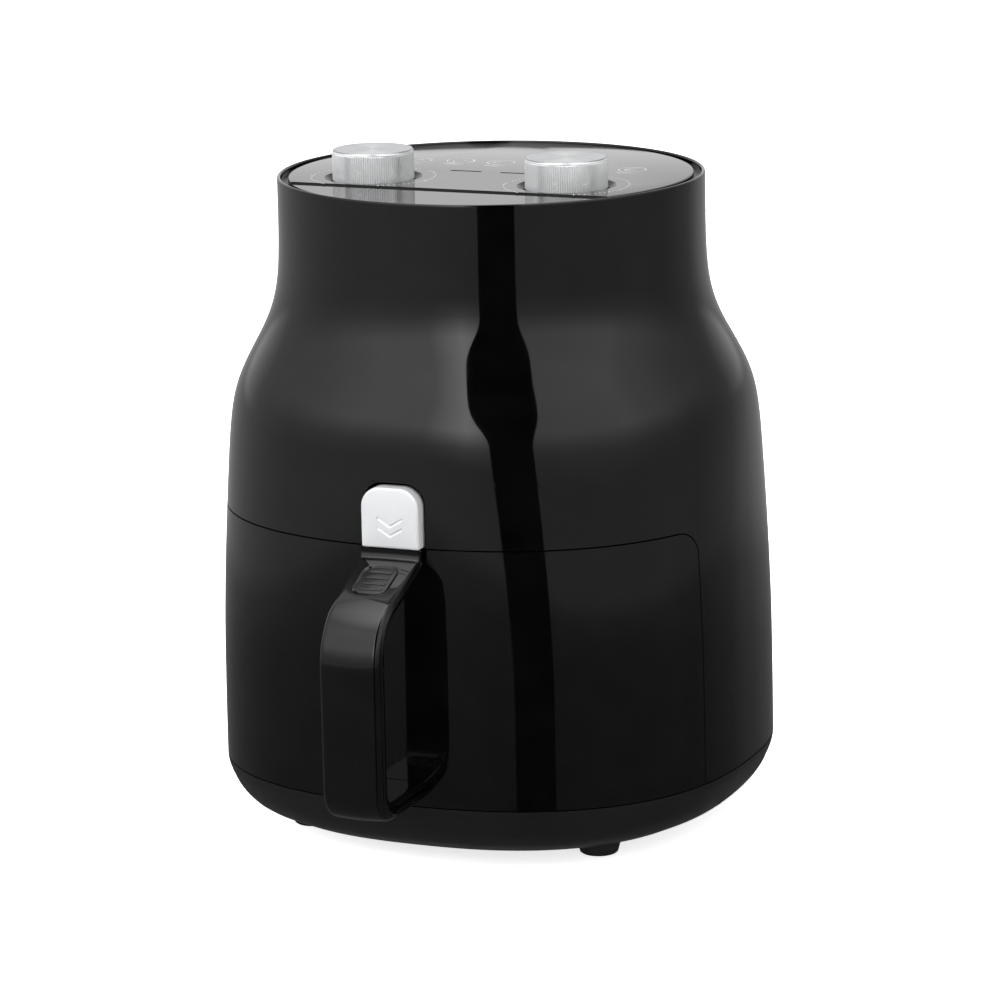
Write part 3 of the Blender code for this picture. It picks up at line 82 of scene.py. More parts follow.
# Where the side's stations are evened out: from this height, over this run, by this reach.
EVEN_FROM = 0.05
EVEN_RUN = 0.09
EVEN_REACH = 0.022
SEAM_Z = 0.1558
WALL = 0.0022
GAP = 0.0003
SEAM = 0.0006                   # visible joint between two covers
LEDGE_TOP = 0.3119
LEDGE_WIDTH = 0.006
DRAWER_EDGE_Y = -0.050
DRAWER_CORNER = 0.013
DRAWER_WALL = 0.003
FRONT_FLANGE = 0.006
BUTTON_WIDTH = 0.031
BUTTON_TOP = 0.1861
BUTTON_FACE = -0.13446
BUTTON_DEPTH = 0.008
BUTTON_CORNER = 0.010
BUTTON_FOOT_CORNER = 0.0009
ARROW_FEET = (0.0115, 0.0068)   # height of each arrow's point above the button's foot
NOTCH_CLEARANCE = 0.001
HANDLE_BACK = -0.1313
HANDLE_REACH = 0.1875
HANDLE_SLOPE = math.radians(22)
HANDLE_STRIP = 0.0037
STRIP_TOP = 0.1554
STRIP_BEND = 0.003
ARM_THICKNESS = 0.009
GRIP_THICKNESS = 0.0125
LEG_THICKNESS = 0.0085
LEG_UNDERSIDE = 0.031
LEG_ROOM = 0.0002
GRIP_BEND = 0.033
LEG_BEND = 0.016
HANDLE_PARTING = 0.57           # the outer shell's share of the handle's thickness
PAD_WIDTH = 0.019
PAD_LENGTH = 0.024
PAD_START = 0.005
PAD_CORNER = 0.006
PAD_RIM = 0.0013
PAD_RIBS = 4
PAD_RIB_PITCH = 0.0046
PANEL_HALF = 0.1018
PANEL_BOTTOM = 0.3155
PANEL_TOP = 0.3185
PANEL_STEP_Y = -0.055
KNOB_X = 0.0518
KNOB_Y = -0.0278
KNOB_RADIUS = 0.0204
KNOB_BOTTOM = 0.3157
KNOB_TOP = 0.3326
POCKET_RADIUS = 0.0246
POCKET_FLARE = 0.0026
LENS_X = 0.0135
LENS_LENGTH = 0.016
LENS_WIDTH = 0.002
LENS_CORNER = 0.00095
VENT_PITCH = 0.0084
VENT_WIDTH = 0.0042
VENT_TOP = 0.0107
VENT_FIRST_Y = -0.021
VENT_COUNT = 9
VENT_REACH = 0.008
VENT_OVERRUN = 0.04
GRILLE_HALF = 0.035
GRILLE_LOW = 0.141
GRILLE_HIGH = 0.189
GRILLE_LAP = 0.004
SCALE_MARKS = 60                # dots of a knob's scale, every tenth one long
SCALE_START = -62               # degrees
SCALE_TURN = 304
SCALE_LONG = 0.0012
ICON_X = (-0.0507, -0.029, -0.0068, 0.015, 0.040, 0.0658)
ICON_Y = 0.030
ICON_DROP = 0.004               # how far the two outer rings stand forward
ICON_LINE = 0.0004
CAPTION_LINE = 0.0005
CAPTION_ROWS = ((1.35, 0.8), (1.62, 0.55))      # distance and width, as shares of the ring's radius
INK = 0.00004


# ---- the body's outline ----

def smooth_step(t):
    """0 to 1 with a level start and end."""
    t = min(max(t, 0.0), 1.0)
    return t * t * (3 - 2 * t)


def side_outline():
    """Stations of (height, half width) up the body's side."""
    belly, shoulder, neck = BELLY_WIDTH / 2, SHOULDER_WIDTH / 2, NECK_WIDTH / 2
    stations = [(BASE_HEIGHT * t, belly - BASE_TUCK * s) for t, s in BASE_CURVE]
    for t, s in SHOULDER_CURVE:
        stations.append((SHOULDER_START + SHOULDER_LENGTH * t, shoulder - (shoulder - neck) * s))
    return stations + [(BODY_HEIGHT, neck)]


def stationed_width(z):
    """Half width through the stations."""
    stations = side_outline()
    steps = [(b[1] - a[1]) / (b[0] - a[0]) for a, b in zip(stations, stations[1:])]
    slopes = [steps[0]]
    for left, right in zip(steps, steps[1:]):
        slopes.append(0 if left * right <= 0 else 2 * left * right / (left + right))
    slopes.append(steps[-1])
    z = min(max(z, 0.0), BODY_HEIGHT)
    i = max(k for k in range(len(steps)) if stations[k][0] <= z)
    (z0, w0), (z1, w1) = stations[i], stations[i + 1]
    span = z1 - z0
    t = (z - z0) / span
    bend = t * (1 - t) ** 2 * slopes[i] - t * t * (1 - t) * slopes[i + 1]
    return w0 + (w1 - w0) * smooth_step(t) + span * bend


@functools.lru_cache(maxsize=None)
def half_width(z):
    """Half width with the stations' slight ripples evened out over the shoulder, as moulded gloss is."""
    ease = smooth_step((z - EVEN_FROM) / EVEN_RUN)
    if ease == 0:
        return stationed_width(z)
    weights = [math.exp(-(k / 4) ** 2) for k in range(-8, 9)]
    around = [stationed_width(z + ease * EVEN_REACH * k / 8) for k in range(-8, 9)]
    return sum(w * a for w, a in zip(weights, around)) / sum(weights)


@functools.lru_cache(maxsize=None)
def squareness(z):
    """Power of the section at height z, from squarish low down to round at the neck."""
    t = (z / BODY_HEIGHT - SQUARE_BELOW) / (ROUND_ABOVE - SQUARE_BELOW)
    return SQUARENESS_LOW + (SQUARENESS_HIGH - SQUARENESS_LOW) * smooth_step(t)


def ring_point(z, inset, angle):
    """A point of the body's section at height z, angle counted from the front towards +X."""
    power, reach = squareness(z), half_width(z) - inset
    s, c = math.sin(angle), math.cos(angle)
    reach *= (abs(s) ** power + abs(c) ** power) ** (-1 / power)
    return reach * s, -reach * c * DEPTH_SHARE, z


def angle_at_y(z, y):
    """Angle at which the skin at height z passes y."""
    power, reach = squareness(z), half_width(z)
    share = min(abs(y) / (reach * DEPTH_SHARE), 1)
    return math.atan2((1 - share ** power) ** (1 / power), -y / (reach * DEPTH_SHARE))


def angle_at_x(z, x):
    """Angle at which the front skin at height z passes x."""
    power, share = squareness(z), x / half_width(z)
    return math.atan2(share, (1 - abs(share) ** power) ** (1 / power))


def skin_front(z):
    """How far forward the skin reaches at height z."""
    return ring_point(z, 0, 0)[1]


def heights(low, high, step, *kept):
    """Row heights from low to high, no further apart than step, with the kept ones among them."""
    marks = sorted({low, high, *(k for k in kept if low < k < high)})
    rows = []
    for a, b in zip(marks, marks[1:]):
        count = max(1, math.ceil((b - a) / step))
        rows.extend(a + (b - a) * k / count for k in range(count))
    return rows + [marks[-1]]


def arc_heights(top, radius):
    """Heights that follow a quarter round evenly by angle, below its top."""
    return [top - radius * (1 - math.sin(math.radians(a))) for a in range(0, 90, 9)] + [top]


# ---- making pieces ----

def add(tree, kind, inputs=None, stops=None, **settings):
    """One node with its settings; inputs gives sockets a value or another node's output, and stops
    gives a ramp its (place, colour) pairs."""
    node = tree.nodes.new(kind)
    for key, value in settings.items():
        setattr(node, key, value)
    for key, value in (inputs or {}).items():
        if isinstance(value, bpy.types.NodeSocket):
            tree.links.new(value, node.inputs[key])
        else:
            node.inputs[key].default_value = value
    if stops:
        elements = node.color_ramp.elements
        elements.remove(elements[1])
        for n, (place, colour) in enumerate(stops):
            element = elements[0] if n == 0 else elements.new(place)
            element.position, element.color = place, colour
    return node


def linear(colour):
    """Linear colour of an sRGB hex value."""
    shares = [int(colour[i:i + 2], 16) / 255 for i in (1, 3, 5)]
    return [s / 12.92 if s <= 0.04045 else ((s + 0.055) / 1.055) ** 2.4 for s in shares] + [1.0]


def make(name, points, faces, finish, sharp=35):
    """A mesh object from points counted from the body's axis and underside."""
    mesh = bpy.data.meshes.new(name)
    mesh.from_pydata([(x, y + AXIS_Y, z + FOOT_HEIGHT) for x, y, z in points], [], faces)
    mesh.validate()
    shape = bmesh.new()
    shape.from_mesh(mesh)
    bmesh.ops.recalc_face_normals(shape, faces=shape.faces)
    shape.to_mesh(mesh)
    shape.free()
    mesh.shade_smooth()
    mesh.set_sharp_from_angle(angle=math.radians(sharp))
    mesh.materials.append(bpy.data.materials[finish])
    piece = bpy.data.objects.new(name, mesh)
    bpy.context.scene.collection.objects.link(piece)
    return piece


def settle(piece, body, slot, *nodes):
    """Applies the piece's modifiers, then hangs it on the body that it rides on and hides the imported parts
    that it stands for; its slot is not used.
    """
    if piece.modifiers:
        bpy.context.view_layer.update()
        shaped = piece.evaluated_get(bpy.context.evaluated_depsgraph_get())
        mesh = bpy.data.meshes.new_from_object(shaped)
        piece.modifiers.clear()
        piece.data = mesh
    if not piece.data.polygons:
        raise RuntimeError(f"{piece.name} came out empty")
    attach(piece, body)
    if nodes:
        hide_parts(*nodes)
    return piece


def bevel(piece, width, segments=2, angle=40):
    """Softens the edges that are sharper than the angle."""
    mod = piece.modifiers.new("edge", "BEVEL")
    mod.width, mod.segments = width, segments
    mod.limit_method, mod.angle_limit = "ANGLE", math.radians(angle)
    mod.harden_normals = True
    return piece


def carve(piece, *cutters):
    """Cuts the cutters out of the piece and removes them."""
    for cutter in cutters:
        mod = piece.modifiers.new("cut", "BOOLEAN")
        mod.operation, mod.object, mod.solver = "DIFFERENCE", cutter, "EXACT"
    bpy.context.view_layer.update()
    shaped = piece.evaluated_get(bpy.context.evaluated_depsgraph_get())
    mesh = bpy.data.meshes.new_from_object(shaped)
    piece.modifiers.clear()
    piece.data = mesh
    mesh.set_sharp_from_angle(angle=math.radians(35))
    for cutter in cutters:
        bpy.data.objects.remove(cutter)
    return piece


def layered(layers):
    """Points and faces of closed outlines stacked one on the other, with both ends filled."""
    count = len(layers[0])
    points = [p for layer in layers for p in layer]
    faces = []
    for i in range(len(layers) - 1):
        for k in range(count):
            n = (k + 1) % count
            faces.append((i * count + k, i * count + n, (i + 1) * count + n, (i + 1) * count + k))
    faces.append(tuple(range(count))[::-1])
    faces.append(tuple(range((len(layers) - 1) * count, len(layers) * count)))
    return points, faces


def lathe(profile, steps, centre=(0, 0)):
    """Layers of a turned piece: profile of (radius, height) from the bottom up."""
    x, y = centre
    turn = 2 * math.pi / steps
    return [[(x + r * math.cos(k * turn), y + r * math.sin(k * turn), z) for k in range(steps)]
            for r, z in profile]


def rounded_box(half_u, half_v, radii, inset=0.0, steps=8):
    """Outline (u, v) of a rectangle with its own radius at each corner, counter-clockwise."""
    outline = []
    signs = ((1, 1), (-1, 1), (-1, -1), (1, -1))
    for corner, ((su, sv), radius) in enumerate(zip(signs, radii)):
        r = max(radius - inset, 1e-5)
        cu, cv = su * (half_u - inset - r), sv * (half_v - inset - r)
        for k in range(steps + 1):
            a = math.pi / 2 * (corner + k / steps)
            outline.append((cu + r * math.cos(a), cv + r * math.sin(a)))
    return outline


def edge_profile(width, steps=4):
    """(inset, depth) pairs of a quarter-round edge, from the face back to the side."""
    turns = [math.pi / 2 * k / steps for k in range(steps + 1)]
    return [(width * (1 - math.sin(a)), width * (1 - math.cos(a))) for a in turns]


def lay_shell(name, finish, outer, extra, inset, bounds_at, counts, present, closed=True):
    """A moulded shell on the body's skin: outer rows of heights, extra (height, inset) rows over its
    top, and the same heights back down at the inset. Absent stretches leave clean openings."""
    rows = [(z, 0.0) for z in outer] + list(extra) + [(z, inset) for z in reversed(outer)]
    top, last = len(outer) - 1, len(rows) - 1
    points, width = [], 0
    for z, depth in rows:
        bounds = bounds_at(z)
        angles = [low + (high - low) * k / count
                  for low, high, count in zip(bounds, bounds[1:], counts) for k in range(count)]
        if not closed:
            angles.append(bounds[-1])
        width = len(angles)
        points.extend(ring_point(z, depth, a) for a in angles)
    stretch = [g for g, count in enumerate(counts) for _ in range(count)]
    faces = []
    for i in range(last):
        middle = (rows[i][0] + rows[i + 1][0]) / 2
        over = top <= i < last - top
        for c, group in enumerate(stretch):
            if present(group, middle, over):
                n = (c + 1) % width
                faces.append((i * width + c, i * width + n, (i + 1) * width + n, (i + 1) * width + c))
    edges = {}
    for face in faces:
        for a, b in zip(face, face[1:] + face[:1]):
            key = (min(a, b), max(a, b))
            edges[key] = None if key in edges else (a, b)
    caps = set()
    for pair in edges.values():
        if pair is None:
            continue
        (a, b), (row_a, row_b) = pair, (pair[0] // width, pair[1] // width)
        if max(row_a, row_b) <= top:
            partner = [(last - r) * width + v % width for r, v in ((row_a, a), (row_b, b))]
            faces.append((b, a, partner[0], partner[1]))
        elif top <= min(row_a, row_b) and max(row_a, row_b) <= last - top:
            caps.add((a % width, row_b > row_a))
    for column, upward in caps:
        cap = [r * width + column for r in range(top, last - top + 1)]
        faces.append(tuple(reversed(cap)) if upward else tuple(cap))
    used = sorted({v for face in faces for v in face})
    index = {v: k for k, v in enumerate(used)}
    return make(name, [points[v] for v in used], [tuple(index[v] for v in f) for f in faces], finish)


# ---- sizes and colours that a user may change ----

def size(name, description, default):
    """A length that a user may change."""
    return bpy.props.FloatProperty(name=name, description=description, default=default,
                                   min=0.0, precision=5, unit="LENGTH")


def tint(name, description, colour):
    """An sRGB hex colour that a user may change."""
    return bpy.props.StringProperty(name=name, description=description, default=colour)


class FryerBody(bpy.types.PropertyGroup):
    rim_width: size("Rim", "Width of the rounded rim round the panel", 0.0019)
    edge: size("Edge", "Softening of the covers' edges", 0.0004)
    fineness: size("Fineness", "Height of one row of the covers' mesh", 0.0024)


class FryerHandle(bpy.types.PropertyGroup):
    crown: size("Crown", "How far the grip's face bulges over its edges", 0.0012)
    shoulder: size("Shoulder", "Rounding between the grip's face and its sides", 0.0034)
    bead: size("Bead", "How far the edge bead stands out of the side", 0.0005)
    bead_width: size("Bead width", "Width of the edge bead", 0.0023)
    set_in: size("Set-in", "How far the inner shell stands in from the outer one", 0.0009)
    pad_depth: size("Pad depth", "Depth of the thumb rest in the arm", 0.0008)


class FryerButton(bpy.types.PropertyGroup):
    set_in: size("Set-in", "How far the cap stays inside its packed outline", 0.0005)
    edge: size("Edge", "Rounding of the button's face", 0.0012)
    arrow_half: size("Arrow half width", "From an arrow's middle to its end", 0.0067)
    arrow_height: size("Arrow height", "From an arrow's point to its ends", 0.0039)
    arrow_line: size("Arrow line", "Width of the engraved line", 0.0015)
    arrow_depth: size("Arrow depth", "Depth of the engraved line", 0.0010)
    spring_wire: size("Spring wire", "Thickness of the return spring's wire", 0.0008)
    spring_turns: bpy.props.IntProperty(name="Spring turns", description="Turns of the return spring",
                                        default=4, min=2)


class FryerKnobs(bpy.types.PropertyGroup):
    ribs: bpy.props.IntProperty(name="Ribs", description="Knurled ribs round a knob", default=112, min=24)
    rib_depth: size("Rib depth", "Depth of the knurling", 0.00045)
    chamfer: size("Chamfer", "Bright bevel round a knob's face", 0.0012)


class FryerPanel(bpy.types.PropertyGroup):
    step: size("Step", "Drop of the panel's front strip", 0.0008)
    edge: size("Edge", "Rounding of the panel's edge", 0.0009)
    scale_radius: size("Scale radius", "Radius of the dotted scale round a knob", 0.0308)
    dot: size("Dot", "Size of a scale dot", 0.00055)
    icon_radius: size("Icon radius", "Radius of a programme ring", 0.0070)


class FryerColours(bpy.types.PropertyGroup):
    gloss: tint("Gloss black", "High-gloss ABS of the body and drawer", "#040404")
    satin: tint("Satin black", "Textured polypropylene of the base", "#0E0E0F")
    panel: tint("Panel", "Lacquered control panel", "#0D0D0F")
    plating: tint("Plating", "Satin silver plating of the button", "#DADBDD")
    aluminium: tint("Aluminium", "Turned aluminium of the knobs", "#E6E7E8")
    print_white: tint("Print", "Screen print on the panel", "#C9CACD")
    floor: tint("Floor", "Studio floor", "#F7F7F7")


# ---- finishes ----

def finish(name, tones, roughness, grain, sheen=None, relief=None, metallic=0.0, **constants):
    """A new material. Its (dark, light) tones follow the grain; roughness is one value, or a (low,
    high) range that follows the sheen; relief is (grain, depth in mm, strength). A grain or sheen is
    (size of its spots in mm, detail), or a function that draws another pattern. What is the same all
    over goes straight onto the shader's sockets."""
    material = bpy.data.materials.new(name)
    material.use_nodes = True
    tree = material.node_tree
    shader = tree.nodes["Principled BSDF"]
    place = add(tree, "ShaderNodeTexCoord").outputs["Object"]
    drawn = {}

    def pattern(spots):
        """The output of one grain, drawn once."""
        if spots not in drawn:
            drawn[spots] = spots(tree, place) if callable(spots) else add(
                tree, "ShaderNodeTexNoise", {"Vector": place, "Scale": 1 / (spots[0] * MM),
                                             "Detail": spots[1]}).outputs["Fac"]
        return drawn[spots]

    for socket, value in constants.items():
        shader.inputs[socket.replace("_", " ")].default_value = value
    shader.inputs["Metallic"].default_value = metallic
    colour = add(tree, "ShaderNodeValToRGB", {"Fac": pattern(grain)},
                 stops=[(0.3, linear(tones[0])), (0.7, linear(tones[1]))])
    tree.links.new(colour.outputs["Color"], shader.inputs["Base Color"])
    if sheen:
        low, high = roughness
        rough = add(tree, "ShaderNodeMapRange", {"Value": pattern(sheen), "From Min": 0.25,
                                                 "From Max": 0.75, "To Min": low, "To Max": high})
        tree.links.new(rough.outputs["Result"], shader.inputs["Roughness"])
    else:
        shader.inputs["Roughness"].default_value = roughness
    if relief:
        raised, depth_mm, strength = relief
        bump = add(tree, "ShaderNodeBump", {"Height": pattern(raised), "Distance": depth_mm * MM,
                                            "Strength": strength})
        tree.links.new(bump.outputs["Normal"], shader.inputs["Normal"])
    return material, tree, shader


def tool_rings(tree, place):
    """Rings round a knob's own axis, from its box."""
    box = add(tree, "ShaderNodeTexCoord").outputs["Generated"]
    hub = add(tree, "ShaderNodeMapping", {"Vector": box, "Location": (-0.5, -0.5, 0), "Scale": (1, 1, 0)})
    return add(tree, "ShaderNodeTexWave", {"Vector": hub.outputs["Vector"], "Scale": 12.7,
                                           "Distortion": 0.4},
               wave_type="RINGS", rings_direction="Z").outputs["Fac"]


def specks(tree, place):
    """Small round specks, one in a cell of about 2.2 mm."""
    cells = add(tree, "ShaderNodeTexVoronoi", {"Vector": place, "Scale": 1 / (2.2 * MM)})
    return add(tree, "ShaderNodeMapRange", {"Value": cells.outputs["Distance"], "From Min": 0.12,
                                            "From Max": 0.2, "To Min": 1.0, "To Max": 0.0}).outputs["Result"]


def spangle(tree, place):
    """Zinc crystals about 9 mm across, each with a brightness of its own."""
    crystals = add(tree, "ShaderNodeTexVoronoi", {"Vector": place, "Scale": 1 / (9 * MM)})
    return add(tree, "ShaderNodeSeparateColor", {"Color": crystals.outputs["Color"]}).outputs["Red"]


def draw_lines(tree, place):
    """Fine lines 0.5 mm apart, drawn out upwards."""
    long = add(tree, "ShaderNodeMapping", {"Vector": place, "Scale": (1, 1, 0.06)}).outputs["Vector"]
    return add(tree, "ShaderNodeTexNoise", {"Vector": long, "Scale": 1 / (0.5 * MM),
                                            "Detail": 3}).outputs["Fac"]


def make_finishes(colours):
    """Every finish of the fryer, each from what the real material is and how it was made."""
    # High-gloss ABS, polished tool: near-black with mirror reflections and the faint swell of moulding.
    finish("abs_high_gloss_black", ("#020202", colours.gloss), (0.03, 0.055), (14, 1), sheen=(5, 2),
           relief=((14, 1), 0.01, 0.35), IOR=1.52)

    # Fine-textured polypropylene: a soft broad sheen broken by a grain of about 0.8 mm.
    finish("polypropylene_fine_texture", ("#09090A", colours.satin), (0.30, 0.40), (0.8, 3), sheen=(9, 2),
           relief=((0.8, 3), 0.03, 0.5), IOR=1.49)

    # Lacquered polycarbonate panel: glassy, with the least orange peel of sprayed lacquer.
    finish("polycarbonate_lacquered", ("#08080A", colours.panel), (0.05, 0.08), (3, 1), sheen=(12, 2),
           relief=((3, 1), 0.004, 0.3), IOR=1.58)

    # Tinted acrylic lens: dark red-brown depth under a glassy face.
    finish("acrylic_smoked_red", ("#120404", "#240808"), 0.05, (2, 2), IOR=1.49, Coat_Weight=0.5)

    # Screen-print ink: matt, a touch uneven where the mesh of the screen let less ink through.
    finish("screen_print_ink", ("#B9BABD", colours.print_white), 0.55, (0.4, 2), IOR=1.5)

    # Satin silver plating on ABS: whitish metal that glows evenly, with a fine blasted grain.
    finish("satin_chrome_plating", ("#D3D4D6", colours.plating), (0.33, 0.40), (0.35, 2), sheen=(6, 2),
           relief=((0.35, 2), 0.006, 0.3), metallic=0.55)

    # Turned aluminium: rings of 0.2 mm tool marks, drawn at 0.5 mm so that they show, fan the light out.
    _, tree, shader = finish("aluminium_spun", ("#BEBFC1", "#C8C9CB"), (0.18, 0.27), (4, 2),
                             sheen=tool_rings, relief=(tool_rings, 0.004, 0.25), metallic=1.0,
                             Anisotropic=0.85)
    round_axis = add(tree, "ShaderNodeTangent", direction_type="RADIAL", axis="Z")
    tree.links.new(round_axis.outputs["Tangent"], shader.inputs["Tangent"])

    # Knurled aluminium side: bright etched ridges that scatter more light than the turned face.
    finish("aluminium_knurled", ("#DEDFE0", colours.aluminium), (0.22, 0.28), (4, 2), sheen=(7, 2),
           metallic=0.55)

    # Nitrile rubber feet: matt, with a dusting of bloom.
    finish("rubber_nitrile_matt", ("#0C0C0C", "#191918"), 0.75, (2.5, 4), relief=((0.5, 2), 0.03, 0.4),
           IOR=1.5)

    # Non-stick coating: dark grey with pale specks of about 0.7 mm under a low sheen.
    finish("ptfe_speckled_coating", ("#19191A", "#4A4A4C"), 0.38, specks, relief=((0.7, 2), 0.02, 0.4),
           IOR=1.38)

    # Galvanised sheet: grey zinc with spangles about 9 mm across of slightly differing brightness.
    finish("steel_galvanised_spangle", ("#A1A5A8", "#AFB3B6"), (0.40, 0.46), spangle, sheen=spangle,
           metallic=1.0)

    # Bright-drawn steel: fine lengthwise draw lines and slightly uneven polish.
    finish("steel_bright_drawn", ("#A8A9AB", "#BFC0C2"), (0.22, 0.36), (7, 2), sheen=draw_lines,
           metallic=1.0)

    # Heater sheath: nickel steel gone brown-grey and dull with heat.
    finish("steel_heat_darkened", ("#2F2A27", "#5E544C"), (0.4, 0.6), (6, 4), sheen=(6, 4), metallic=1.0)


CARRIED = {
    "polypropylene_fine_texture": ("rear_air_grille", "cord_gland", "panel_frame", "drawer_switch",
                                   "button_housing", "cooling_fan"),
    "ptfe_speckled_coating": ("frying_pan", "basket"),
    "steel_galvanised_spangle": ("inner_chamber", "chamber_top_plate", "heat_reflector", "motor_bracket",
                                 "convection_fan", "timer_mechanism", "thermostat"),
    "steel_bright_drawn": ("motor", "motor_shaft", "fan_nut", "timer_bell", "timer_shaft",
                           "thermostat_shaft", "heater_guard", "drawer_runner_left",
                           "drawer_runner_right", "handle_bracket", "pan_bracket",
                           "handle_screw_upper", "handle_screw_lower",
                           "base_screw_front_left", "base_screw_front_right", "base_screw_rear_left",
                           "base_screw_rear_right"),
    "steel_heat_darkened": ("heating_element",),
}


class FRYER_OT_finishes(bpy.types.Operator):
    """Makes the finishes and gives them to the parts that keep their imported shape"""
    bl_idname = "fryer.finishes"
    bl_label = "Finishes"

    def execute(self, context):
        make_finishes(context.scene.fryer_colours)
        for name, nodes in CARRIED.items():
            for node in nodes:
                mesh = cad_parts[node].data
                mesh.materials.clear()
                mesh.materials.append(bpy.data.materials[name])
                mesh.shade_smooth()
                mesh.set_sharp_from_angle(angle=math.radians(32))
        return {"FINISHED"}


# ---- body, drawer and base ----

NOTCH_HALF = BUTTON_WIDTH / 2 + NOTCH_CLEARANCE
NOTCH_TOP = BUTTON_TOP + NOTCH_CLEARANCE
NOTCH_CORNER = BUTTON_CORNER + NOTCH_CLEARANCE
CORNER_Z = SEAM_Z - DRAWER_CORNER


def opening_angle(z, radius, edge):
    """Angle at which the drawer's opening meets the skin, with its rounded upper corners."""
    rise = min(max(z - CORNER_Z, 0), radius)
    return angle_at_y(z, edge - radius + math.sqrt(radius ** 2 - rise ** 2)) if z > CORNER_Z \
        else angle_at_y(z, edge)


def notch_angle(z):
    """Angle at which the button's notch meets the skin, with its rounded upper corners."""
    rise = min(max(z - (NOTCH_TOP - NOTCH_CORNER), 0), NOTCH_CORNER)
    half = NOTCH_HALF - NOTCH_CORNER + math.sqrt(NOTCH_CORNER ** 2 - rise ** 2)
    return angle_at_x(z, half)


class FRYER_OT_body(bpy.types.Operator):
    """Moulded gloss cover with its rim, ledge, drawer opening and button notch"""
    bl_idname = "fryer.body"
    bl_label = "Body cover"

    def execute(self, context):
        sizes = context.scene.fryer_body
        rim = sizes.rim_width
        low = BASE_HEIGHT + SEAM
        top = BODY_HEIGHT - rim / 2
        window = angle_at_x(SEAM_Z, GRILLE_HALF - GRILLE_LAP)
        outer = heights(low, top, sizes.fineness, SEAM_Z, GRILLE_LOW + GRILLE_LAP, GRILLE_HIGH - GRILLE_LAP,
                        *arc_heights(SEAM_Z, DRAWER_CORNER), *arc_heights(NOTCH_TOP, NOTCH_CORNER))
        turns = [math.pi * k / 8 for k in range(1, 9)]
        lip = [(top + rim / 2 * math.sin(a), rim / 2 * (1 - math.cos(a))) for a in turns]
        extra = lip + [(LEDGE_TOP, rim), (LEDGE_TOP, rim + LEDGE_WIDTH),
                       (LEDGE_TOP - WALL, rim + LEDGE_WIDTH), (LEDGE_TOP - WALL - 0.004, WALL)]

        def bounds_at(z):
            """Angles between the stretches: notch, front, side, grille, side, front, notch."""
            notch = notch_angle(min(max(z, SEAM_Z), NOTCH_TOP))
            side = opening_angle(min(z, SEAM_Z), DRAWER_CORNER, DRAWER_EDGE_Y)
            turn = 2 * math.pi
            return (notch, side, math.pi - window, math.pi + window, turn - side, turn - notch,
                    turn + notch)

        def present(group, z, over):
            """Whether the cover has its stretch at this height: not in the opening, notch or grille."""
            if group in (0, 4):
                return over or z > SEAM_Z
            if group == 5:
                return over or z > NOTCH_TOP
            return group != 2 or over or not GRILLE_LOW + GRILLE_LAP < z < GRILLE_HIGH - GRILLE_LAP

        shell = lay_shell("body_cover", "abs_high_gloss_black", outer, extra, WALL, bounds_at,
                          (22, 64, 16, 64, 22, 6), present)
        bevel(shell, sizes.edge)
        settle(shell, "housing", "gloss_black", "body_shell")
        return {"FINISHED"}


class FRYER_OT_drawer(bpy.types.Operator):
    """Moulded gloss front of the drawer with its rounded corners and return flange"""
    bl_idname = "fryer.drawer"
    bl_label = "Drawer front"

    def execute(self, context):
        sizes = context.scene.fryer_body
        top = SEAM_Z - SEAM
        strap_low = STRIP_TOP - HANDLE_STRIP - GAP
        strap = angle_at_x(SEAM_Z, BUTTON_WIDTH / 2 + GAP)
        radius = DRAWER_CORNER - SEAM
        outer = heights(BASE_HEIGHT + SEAM, top, sizes.fineness, strap_low, *arc_heights(top, radius))
        extra = [(top, FRONT_FLANGE), (top - DRAWER_WALL, FRONT_FLANGE), (top - DRAWER_WALL, DRAWER_WALL)]

        def bounds_at(z):
            """Angles of the front's sides and of the strip's seat."""
            side = opening_angle(z, radius, DRAWER_EDGE_Y - SEAM)
            return (-side, -strap, strap, side)

        def present(group, z, over):
            """All of the front but the strip's seat."""
            return group != 1 or z < strap_low

        front = lay_shell("drawer_skin", "abs_high_gloss_black", outer, extra, DRAWER_WALL, bounds_at,
                          (44, 12, 44), present, closed=False)
        bevel(front, sizes.edge)
        settle(front, "drawer", "gloss_black", "drawer_front")
        return {"FINISHED"}


